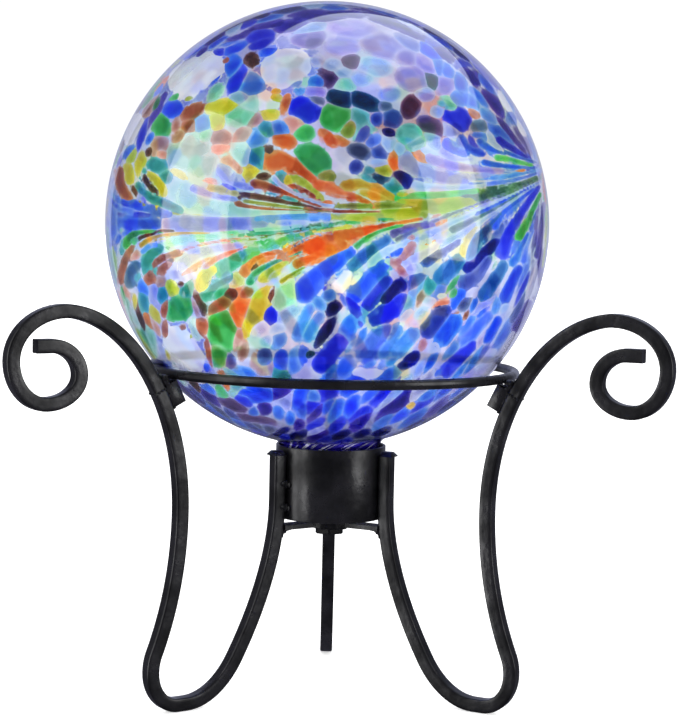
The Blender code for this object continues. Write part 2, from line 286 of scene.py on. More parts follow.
def chip_glass():
    """Blown glass with melted-in chips: a chip is deep in its middle and thins to the clear ground."""
    made, nodes, links, shader = new_material("glass_with_chips")
    shader.inputs["Roughness"].default_value = 0.07
    shader.inputs["IOR"].default_value = 1.5
    shader.inputs["Transmission Weight"].default_value = 0.66
    shader.inputs["Coat Weight"].default_value = 1.0
    shader.inputs["Coat Roughness"].default_value = 0.02
    place = nodes.new("ShaderNodeTexCoord").outputs["Object"]

    def attribute(name, kind):
        node = nodes.new("ShaderNodeAttribute")
        node.attribute_name = name
        return node.outputs[kind]

    def noise(scale, detail, vector=place):
        node = nodes.new("ShaderNodeTexNoise")
        node.inputs["Scale"].default_value = scale
        node.inputs["Detail"].default_value = detail
        links.new(vector, node.inputs["Vector"])
        return node.outputs["Fac"]

    def put(value, socket):
        if isinstance(value, (int, float, tuple)):
            socket.default_value = value
        else:
            links.new(value, socket)

    def calculate(operation, *values):
        node = nodes.new("ShaderNodeMath")
        node.operation = operation
        for value, socket in zip(values, node.inputs):
            put(value, socket)
        return node.outputs[0]

    def gamma(colour, power):
        node = nodes.new("ShaderNodeGamma")
        links.new(colour, node.inputs["Color"])
        links.new(power, node.inputs["Gamma"])
        return node.outputs["Color"]

    def step(value, low, high, start=0.0, end=1.0):
        node = nodes.new("ShaderNodeMapRange")
        node.interpolation_type = "SMOOTHSTEP"
        for name, number in (("From Min", low), ("From Max", high), ("To Min", start), ("To Max", end)):
            node.inputs[name].default_value = number
        links.new(value, node.inputs["Value"])
        return node.outputs["Result"]

    def mix(factor, first, second):
        node = nodes.new("ShaderNodeMix")
        node.data_type = "RGBA"
        for value, name in ((factor, "Factor"), (first, "A"), (second, "B")):
            put(value, node.inputs[name])
        return node.outputs["Result"]

    chip, ground = attribute("chip", "Color"), attribute("rim", "Color")
    fine = calculate("MULTIPLY_ADD", noise(RAGGED_GRAIN, 3), EDGE_RAGGED, -EDGE_RAGGED / 2)
    wide = calculate("MULTIPLY_ADD", noise(UNEVEN_GRAIN, 1), EDGE_UNEVEN, -EDGE_UNEVEN / 2)
    reach = calculate("ADD", attribute("edge", "Fac"), calculate("ADD", fine, wide))
    deepened = gamma(chip, step(reach, 0.0, CHIP_SLOPE, THIN_DEPTH, THICK_DEPTH))
    full = mix(step(reach, -CHIP_FRINGE, CHIP_FRINGE), ground, deepened)
    shaded = gamma(full, step(noise(CLOUD_GRAIN, 4), *CLOUD_RANGE, *CLOUD_DEPTHS))

    # The neck is dark, with white threads that wind round it
    moved = nodes.new("ShaderNodeVectorMath")
    moved.operation = "SUBTRACT"
    moved.inputs[1].default_value = (AXIS.x, AXIS.y, 0)
    links.new(place, moved.inputs[0])
    parts = nodes.new("ShaderNodeSeparateXYZ")
    links.new(moved.outputs["Vector"], parts.inputs[0])
    around = calculate("ARCTAN2", parts.outputs["Y"], parts.outputs["X"])
    turned = calculate("MULTIPLY", around, THREAD_TURNS)
    wound = calculate("ADD", turned, calculate("MULTIPLY", parts.outputs["Z"], THREAD_RISE))
    along = nodes.new("ShaderNodeCombineXYZ")
    links.new(wound, along.inputs["X"])
    links.new(calculate("MULTIPLY", parts.outputs["Z"], THREAD_STRETCH), along.inputs["Y"])
    threads = step(noise(THREAD_GRAIN, 2, along.outputs["Vector"]), *THREAD_RANGE)
    neck = mix(threads, NECK_DARK, NECK_THREADS)
    neck_top = GLOBE_CENTRE.z - FLARE_DOWN_AT_BALL
    low = step(parts.outputs["Z"], neck_top + NECK_FADE[0], neck_top + NECK_FADE[1], 1.0, 0.0)
    links.new(mix(low, shaded, neck), shader.inputs["Base Color"])

    bump = nodes.new("ShaderNodeBump")
    bump.inputs["Strength"].default_value = 0.12
    bump.inputs["Distance"].default_value = 0.001
    links.new(noise(WAVE_GRAIN, 2), bump.inputs["Height"])
    links.new(bump.outputs["Normal"], shader.inputs["Normal"])
    return made


def clear_glass():
    """The smooth inner face of the wall."""
    made, *_, shader = new_material("glass_inner_face")
    shader.inputs["Roughness"].default_value = 0.0
    shader.inputs["IOR"].default_value = 1.5
    shader.inputs["Transmission Weight"].default_value = 1.0
    shader.inputs["Base Color"].default_value = (0.98, 0.985, 1.0, 1)
    return made


STEEL = powder_coat()


# Bars of the legs


def loop_stations(seam):
    toe_rho = seam[0] + TOE_OUT_OF_SEAM
    foot_rho = toe_rho - FOOT_IN
    return [
        (BAR_RHO, BAR_TOP, -90),
        (BAR_RHO, COLLAR_BOTTOM + SWEEP_UP_COLLAR, -90),
        (toe_rho - HEEL_IN, HEEL_Z, HEEL_HEADING),
        (foot_rho - FOOT_FLAT / 2, BAR / 2, 0),
        (foot_rho + FOOT_FLAT / 2, BAR / 2, 0),
        (toe_rho, TOE_Z, 90),
        (toe_rho - TOE_RISE_IN, TOE_Z + TOE_RISE_UP, TOE_RISE_HEADING),
        (seam[0] - WAIST_IN_OF_SEAM, WAIST_Z, 90),
        (seam[0], seam[1], SEAM_HEADING),
    ]


def arm_stations(seam):
    places = [
        (SHOULDER, SHOULDER_HEADING),
        (SCROLL_TOP, 0),
        (SCROLL_OUTSIDE, -90),
        (SCROLL_BOTTOM, -180),
        (SCROLL_INSIDE, -270),
        (SCROLL_CURL, -360),
        ((SCROLL_CURL[0] + SCROLL_END, SCROLL_CURL[1]), -360),
    ]
    stations = [(seam[0], seam[1], SEAM_HEADING)]
    return stations + [(seam[0] + rho, seam[1] + z, heading) for (rho, z), heading in places]


def handles(start, end):
    """The two handles of a bend that leaves and meets its stations along their headings."""
    first, last = Vector(start[:2]), Vector(end[:2])
    if start[2] == end[2]:
        return first.lerp(last, 1 / 3), first.lerp(last, 2 / 3)
    out, back = direction(start[2]), direction(end[2])
    turn = math.radians(end[2] - start[2])
    cross = out.x * back.y - out.y * back.x
    between = last - first
    reach_out = (between.x * back.y - between.y * back.x) / cross
    reach_back = (out.x * between.y - out.y * between.x) / cross
    share = 4 / 3 * math.tan(abs(turn) / 4) / math.tan(abs(turn) / 2)
    return first + out * reach_out * share, last - back * reach_back * share


# A handle of this share of its radius draws a quarter of a circle
QUARTER_PULL = 0.5523
BAR_STEPS = 14
END_ROUNDING = 0.0004


def bar_profile():
    """The bar's section: a square with rounded corners, drawn as a closed Bezier curve."""
    deselect_all()
    bpy.ops.curve.primitive_bezier_circle_add(radius=BAR / 2, location=(0, 0, 0))
    profile = named("bar_section")
    profile.data.dimensions = "2D"
    profile.data.resolution_u = 3
    spline = profile.data.splines[0]
    spline.bezier_points.add(4)
    half = BAR / 2
    flat = half - BAR_ROUNDING
    corners = [(flat, -half), (half, -flat), (half, flat), (flat, half),
               (-flat, half), (-half, flat), (-half, -flat), (-flat, -half)]
    pull = BAR_ROUNDING * QUARTER_PULL
    ways = [(1, 0), (0, 1), (0, 1), (-1, 0), (-1, 0), (0, -1), (0, -1), (1, 0)]
    for index, (point, (x, y)) in enumerate(zip(spline.bezier_points, corners)):
        way = Vector((*ways[index], 0))
        point.handle_left_type = point.handle_right_type = "FREE"
        point.co = (x, y, 0)
        point.handle_left = point.co - way * pull
        point.handle_right = point.co + way * pull
    return profile


def bent_bar(name, stations, profile, side):
    """Sweeps the bar's section along a Bezier curve through the stations."""
    deselect_all()
    bpy.ops.curve.primitive_bezier_curve_add(location=(0, 0, 0))
    bar = named(name)
    curve = bar.data
    curve.dimensions = "2D"
    curve.fill_mode = "NONE"
    curve.resolution_u = BAR_STEPS
    spline = curve.splines[0]
    spline.bezier_points.add(len(stations) - len(spline.bezier_points))
    for point, station in zip(spline.bezier_points, stations):
        point.handle_left_type = point.handle_right_type = "FREE"
        point.co = (station[0], station[1], 0)
        point.handle_left = point.handle_right = point.co
    for index, (start, end) in enumerate(zip(stations, stations[1:])):
        leave, meet = handles(start, end)
        spline.bezier_points[index].handle_right = (leave.x, leave.y, 0)
        spline.bezier_points[index + 1].handle_left = (meet.x, meet.y, 0)
    curve.bevel_mode = "OBJECT"
    curve.bevel_object = profile
    curve.use_fill_caps = True
    pick(bar)
    bpy.ops.object.convert(target="MESH")
    bar = bpy.context.object
    bpy.ops.object.mode_set(mode="EDIT")
    bpy.ops.mesh.select_all(action="SELECT")
    bpy.ops.mesh.remove_doubles(threshold=0.00002)
    bpy.ops.mesh.normals_make_consistent(inside=False)
    bpy.ops.object.mode_set(mode="OBJECT")
    bar.matrix_world = into_leg(side) @ Matrix.Rotation(math.radians(90), 4, "X")
    settle(bar)
    round_edges(bar, END_ROUNDING, 2, 60)
    bar.data.materials.clear()
    bar.data.materials.append(STEEL)
    return bar


def round_edges(obj, width, segments, angle, smooth_angle=40):
    """Rounds the edges that are sharper than an angle, and shades what is left smooth."""
    apply_modifier(obj, "BEVEL", width=width, segments=segments, limit_method="ANGLE",
                   angle_limit=math.radians(angle))
    smooth(obj, smooth_angle)


def finish_piece(obj, *nodes, slot="black_powder_coat"):
    """Parents a finished piece to the stand's one body, and hides the nodes that it stands for."""
    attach(obj, "root")
    if nodes:
        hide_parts(*nodes)


def make_legs():
    cut = SEAM_ALONG * (GAP / 2)
    profile = bar_profile()
    for side in LEG_TURNS:
        loop = bent_bar("loop_" + side, loop_stations((SEAM[0] - cut.x, SEAM[1] - cut.y)), profile, side)
        finish_piece(loop, "leg_loop_" + side)
        arm = bent_bar("arm_" + side, arm_stations((SEAM[0] + cut.x, SEAM[1] + cut.y)), profile, side)
        finish_piece(arm, "scroll_arm_" + side)
    bpy.data.objects.remove(profile)


def make_ring():
    deselect_all()
    bpy.ops.mesh.primitive_torus_add(
        major_radius=RING_RADIUS, minor_radius=RING_WIRE / 2, major_segments=224, minor_segments=24,
        location=(AXIS.x, AXIS.y, RING_HEIGHT))
    ring = named("support_ring")
    settle(ring)
    smooth(ring, 60)
    ring.data.materials.append(STEEL)
    finish_piece(ring, "ring")


def make_collar():
    deselect_all()
    bpy.ops.mesh.primitive_cylinder_add(
        vertices=144, radius=COLLAR_OUTER, depth=COLLAR_HEIGHT, end_fill_type="NOTHING",
        location=(AXIS.x, AXIS.y, COLLAR_BOTTOM + COLLAR_HEIGHT / 2))
    collar = named("collar_tube")
    settle(collar)
    apply_modifier(collar, "SOLIDIFY", thickness=COLLAR_WALL, offset=-1)
    round_edges(collar, END_ROUNDING, 3, 50)
    collar.data.materials.append(STEEL)
    finish_piece(collar, "collar")


# Small pieces of the stand: lids over the bars' tops, lugs and weld beads

LID_WIDTH = 0.0092
LID_HEIGHT = 0.0027
LID_TOP_SHARE = 0.55
LID_IN_BAR = 0.0001
LID_ROUNDING = 0.0002
LUG_ROUNDING = 0.00035
BEAD_GRAIN = 0.00028
BEAD_LUMPS = 0.0006
BEAD_LUMP_SPACING = 0.0022
# Beads between a leg and the collar: how far above the collar's bottom, and the half length of a lump. The
# bead that the front shows is shorter
COLLAR_BEADS = (0.0070, 0.0206)
COLLAR_BEAD_LONG = 0.0032
COLLAR_BEAD_SHORT = 0.0026
COLLAR_BEAD_ASIDE = 0.0006
# Their lumps beside the bar: outwards from the collar's wall, aside of the bar's flank and up, the half
# sizes outwards and across, and the share of the half length
COLLAR_LUMPS = (
    (0.0009, 0.0002, 0.0, 0.0016, 0.0009, 1.0),
    (0.0002, 0.0019, -0.0004, 0.0008, 0.0016, 0.75),
    (0.0030, 0.0, 0.0004, 0.0017, 0.0005, 0.6),
)
BOSS_LUMPS = 14
BOSS_LUMP = (0.0024, 0.0024, 0.0011)
BOSS_LUMP_SWING, BOSS_LUMP_BEAT = 0.0008, 2.3
BOSS_BEAD_DOWN = 0.0006
# Weld under the plate's arm: how far in along the arm and down the bar, how it thins and narrows on the way,
# the lumps' other half sizes, and one lump that fills the corner
GUSSET_DOWN = 0.0040
GUSSET_IN = 0.0052
GUSSET_THICK, GUSSET_THINS = 0.0016, 0.0009
GUSSET_WIDE, GUSSET_NARROWS = 0.0040, 0.001
GUSSET_UNDER = 0.0003
GUSSET_LEAN = 0.0002
GUSSET_LONG = 0.0012
GUSSET_ON_BAR = 0.0034
CORNER_IN = 0.0012
CORNER_LUMP = (0.0016, 0.0034, 0.0016)
# Lumps at the lug's upper end: outwards and along from its top's middle, the share of the lug's width over
# which they are spread, and their half sizes
RING_LUMPS = (
    (0.0022, 0.0006, 1.0, (0.0020, 0.0016, 0.0017)),
    (0.0034, 0.0022, 1.0, (0.0013, 0.0014, 0.0016)),
    (0.0026, 0.0040, 0.8, (0.0018, 0.0014, 0.0019)),
    (0.0008, 0.0030, 0.8, (0.0019, 0.0014, 0.0018)),
)
RING_LUMPS_ACROSS = (-0.0026, -0.0009, 0.0009, 0.0026)
LUG_FOOT_ACROSS = (-0.0024, 0.0, 0.0024)
LUG_FOOT_LUMP = (0.0011, 0.0015, 0.0011)
LUG_FOOT_UP = 0.0002
GROOVE_SHARES = (-0.34, -0.2, -0.06, 0.08, 0.22, 0.36)
GROOVE_LUMP = (0.0009, 0.0006, 0.0013)
GROOVE_INSET = 0.0007
SEAM_SHARES = (-0.8, -0.3, 0.2, 0.75)
SEAM_LUMP = (0.0011, 0.00055, 0.0009)
SEAM_UNEVEN, SEAM_BEAT = 0.0002, 9
# How deep a bead's lumps sit in the flat side that they start from
BEAD_SUNK = 0.0001


def new_block(name):
    """A cube of unit size at the origin, as the start of a piece."""
    deselect_all()
    bpy.ops.mesh.primitive_cube_add(size=1, location=(0, 0, 0))
    return named(name)


def make_lids():
    """The sheared tops of the bars beside the collar: low lids with a blunt top, wider than the bar."""
    for side in LEG_TURNS:
        lid = new_block("bar_top_" + side)
        bpy.ops.object.mode_set(mode="EDIT")
        bpy.ops.mesh.select_all(action="DESELECT")
        edit = bmesh.from_edit_mesh(lid.data)
        for face in edit.faces:
            face.select = face.normal.z > 0.5
        bmesh.update_edit_mesh(lid.data)
        bpy.ops.transform.resize(value=(LID_TOP_SHARE, LID_TOP_SHARE, 1))
        bpy.ops.object.mode_set(mode="OBJECT")
        place = (BAR_RHO + (LID_WIDTH - BAR) / 2, 0, BAR_TOP + LID_HEIGHT / 2 - LID_IN_BAR)
        shape = Matrix.Diagonal((LID_WIDTH, LID_WIDTH, LID_HEIGHT, 1))
        lid.matrix_world = into_leg(side) @ Matrix.Translation(place) @ shape
        settle(lid)
        round_edges(lid, LID_ROUNDING, 2, 20, 30)
        lid.data.materials.append(STEEL)
        finish_piece(lid)


def node_axes(name, side):
    """A straight node's middle and length direction in its leg's own plane, from its own mesh."""
    back = into_leg(side).inverted()
    points = np.array([back @ vertex.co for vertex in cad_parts[name].data.vertices])
    middle = (points.min(0) + points.max(0)) / 2
    middle[1] = 0
    flat = (points - points.mean(0))[:, [0, 2]]
    along = np.linalg.eigh(flat.T @ flat)[1][:, 1]
    return Vector(middle), Vector((along[0], 0, along[1])) * (1 if along[1] > 0 else -1)


def make_lugs():
    across = Vector((0, 1, 0))
    for side in LEG_TURNS:
        node = "ring_lug_" + side
        middle, along = node_axes(node, side)
        lug = new_block("lug_" + side)
        axes = Matrix((along, across, along.cross(across))).transposed().to_4x4()
        shape = Matrix.Diagonal((LUG_LENGTH, BAR, BAR, 1))
        lug.matrix_world = into_leg(side) @ Matrix.Translation(middle) @ axes @ shape
        settle(lug)
        round_edges(lug, LUG_ROUNDING, 2, 40)
        lug.data.materials.append(STEEL)
        finish_piece(lug, node)


def bead(name, side, spots):
    """A weld bead: lumps, each (rho, across, z, and three half sizes), grown together and roughened."""
    lumps = []
    for rho, across, z, *halves in spots:
        deselect_all()
        bpy.ops.mesh.primitive_ico_sphere_add(subdivisions=3, radius=1, location=(0, 0, 0))
        lump = bpy.context.object
        lump.matrix_world = (into_leg(side) @ Matrix.Translation((rho, across, z))
                             @ Matrix.Diagonal((*halves, 1)))
        settle(lump)
        lumps.append(lump)
    deselect_all()
    for lump in lumps:
        lump.select_set(True)
    bpy.context.view_layer.objects.active = lumps[0]
    bpy.ops.object.join()
    grown = named(name)
    apply_modifier(grown, "REMESH", mode="VOXEL", voxel_size=BEAD_GRAIN)
    lumpy = bpy.data.textures.get("weld_lumps") or bpy.data.textures.new("weld_lumps", "CLOUDS")
    lumpy.noise_scale = BEAD_LUMP_SPACING
    apply_modifier(grown, "DISPLACE", texture=lumpy, strength=BEAD_LUMPS, mid_level=0.5,
                   texture_coords="LOCAL")
    apply_modifier(grown, "SMOOTH", factor=0.5, iterations=2)
    smooth(grown, 180)
    grown.data.materials.append(STEEL)
    finish_piece(grown)


def flank_letter(flank):
    return "a" if flank > 0 else "b"


def weld_collar():
    """Beads beside a bar, where its flat side meets the round collar."""
    half = BAR / 2
    beside = math.sqrt(COLLAR_OUTER**2 - (half + COLLAR_BEAD_ASIDE) ** 2)
    for side, flank in (("left", 1), ("left", -1), ("right", 1), ("rear", -1)):
        long = COLLAR_BEAD_SHORT if side == "left" and flank == 1 else COLLAR_BEAD_LONG
        for index, up in enumerate(COLLAR_BEADS):
            z = COLLAR_BOTTOM + up
            spots = [(beside + out, flank * (half + aside), z + higher, *halves, long * share)
                     for out, aside, higher, *halves, share in COLLAR_LUMPS]
            bead("bead_collar_%s_%s_%d" % (side, flank_letter(flank), index + 1), side, spots)


def weld_boss():
    """A bead round the boss, against the plate."""
    spots = []
    for index in range(BOSS_LUMPS):
        turn = 2 * math.pi * index / BOSS_LUMPS
        out = BOSS_ACROSS_CORNERS / 2 + BOSS_LUMP_SWING * math.sin(index * BOSS_LUMP_BEAT)
        spots.append((out * math.cos(turn), out * math.sin(turn), PLATE_UNDER - BOSS_BEAD_DOWN, *BOSS_LUMP))
    bead("bead_boss", "rear", spots)


def weld_plate(side):
    """Under the plate's arm, a gusset of weld down the inside of the bar."""
    inside = arm_end(side)
    spots = []
    for share in (0.0, 0.25, 0.5, 0.75, 1.0):
        size = GUSSET_THICK - GUSSET_THINS * share
        half = GUSSET_WIDE - GUSSET_NARROWS * share
        spots.append((inside - GUSSET_IN * share, 0, PLATE_UNDER - GUSSET_UNDER, GUSSET_LONG, half, size))
        spots.append((inside + GUSSET_LEAN * share, 0, PLATE_UNDER - GUSSET_DOWN * share,
                      size, GUSSET_ON_BAR, GUSSET_LONG))
    spots.append((inside - CORNER_IN, 0, PLATE_UNDER - CORNER_IN, *CORNER_LUMP))
    bead("bead_plate_" + side, side, spots)


def weld_lug(side):
    """Beads between the wire, the lug's end and the bar, and in the groove between lug and bar."""
    half = BAR / 2
    middle, along = node_axes("ring_lug_" + side, side)
    outwards = Vector((along.z, 0, -along.x))
    top = middle + along * (LUG_LENGTH / 2)
    spots = []
    for across in RING_LUMPS_ACROSS:
        for out, up, spread, halves in RING_LUMPS:
            place = top + outwards * out + along * up
            spots.append((place.x, across * spread, place.z, *halves))
    bead("bead_ring_" + side, side, spots)
    foot = middle - along * (LUG_LENGTH / 2)
    spots = []
    for across in LUG_FOOT_ACROSS:
        place = foot + outwards * (half + BEAD_SUNK) + along * LUG_FOOT_UP
        spots.append((place.x, across, place.z, *LUG_FOOT_LUMP))
    for flank in (-1, 1):
        for share in GROOVE_SHARES:
            place = middle + outwards * (half + BEAD_SUNK) + along * (LUG_LENGTH * share)
            spots.append((place.x, flank * (half - GROOVE_INSET), place.z, *GROOVE_LUMP))
    bead("bead_lug_" + side, side, spots)


def weld_seam(side):
    """Beads across the front and back of the bar, over the joint of loop and arm."""
    half = BAR / 2
    way = direction(SEAM_HEADING + 90)
    for flank in (-1, 1):
        spots = []
        for share in SEAM_SHARES:
            lift = SEAM_UNEVEN * math.sin(SEAM_BEAT * share)
            spots.append((SEAM[0] + way.x * half * share, flank * (half - BEAD_SUNK),
                          SEAM[1] + way.y * half * share + lift, *SEAM_LUMP))
        bead("bead_seam_%s_%s" % (side, flank_letter(flank)), side, spots)


def make_welds():
    weld_collar()
    weld_boss()
    for side in LEG_TURNS:
        weld_plate(side)
        weld_lug(side)
        weld_seam(side)


def arm_end(side):
    """How far out the plate's arm to a leg ends, from the plate's own mesh."""
    back = into_leg(side).inverted()
    points = [back @ vertex.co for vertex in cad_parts["base_plate"].data.vertices]
    return max(point.x for point in points if abs(point.y) < PLATE_ARM_WIDTH)


# Camera, from the ball's centre
CAMERA_DISTANCE = 1.02853
CAMERA_ABOVE_BALL = 0.00106
CAMERA_YAW = math.radians(0.48)
CAMERA_PITCH = math.radians(4.32)
CAMERA_ROLL = math.radians(1.20)
LENS_MM = 89.36


# Glass globe

MM = 0.001
HALF_MM = 0.0005

# Glass colours, as sRGB 0 to 255
GLASS_COLOURS = {
    "white": (248, 249, 255), "lavender": (208, 210, 242), "skypale": (180, 208, 250),
    "periwinkle": (165, 175, 242), "azure": (95, 160, 250), "cornflower": (98, 138, 248),
    "blue": (58, 124, 240), "royal": (48, 98, 245), "deep": (38, 54, 228), "navyblue": (8, 20, 150),
    "navy": (15, 20, 110), "indigo": (50, 35, 160), "violet": (105, 95, 190), "violetpale": (195, 185, 240),
    "lilac": (165, 150, 228), "plum": (95, 70, 120), "slate": (100, 110, 150), "slateblue": (75, 95, 180),
    "slateteal": (80, 120, 150), "navyteal": (15, 60, 90), "teal": (60, 160, 170),
    "mintteal": (110, 200, 192), "blueteal": (48, 115, 192), "tealgreen": (68, 175, 138),
    "oliveteal": (95, 140, 100), "pine": (25, 95, 50), "green": (60, 180, 85), "leaf": (88, 205, 105),
    "palegreen": (185, 230, 180), "mint": (165, 228, 200), "palemint": (195, 230, 225),
    "lime": (192, 210, 60), "olive": (150, 155, 55), "yellow": (225, 212, 55), "straw": (215, 205, 120),
    "ochre": (222, 172, 50), "orange": (230, 122, 50), "rust": (180, 95, 62), "umber": (85, 45, 35),
    "tan": (188, 145, 135), "salmon": (236, 168, 145),
}

# The ball in the photo's frame of 679 x 717: its middle in pixels, and a pixel's worth there in metres
SEEN_MIDDLE = (327.0, 222.0)
SEEN_PIXEL = 0.000572
FOCAL_PIXELS = 1779.7
FRAME_MIDDLE = (339.5, 358.5)

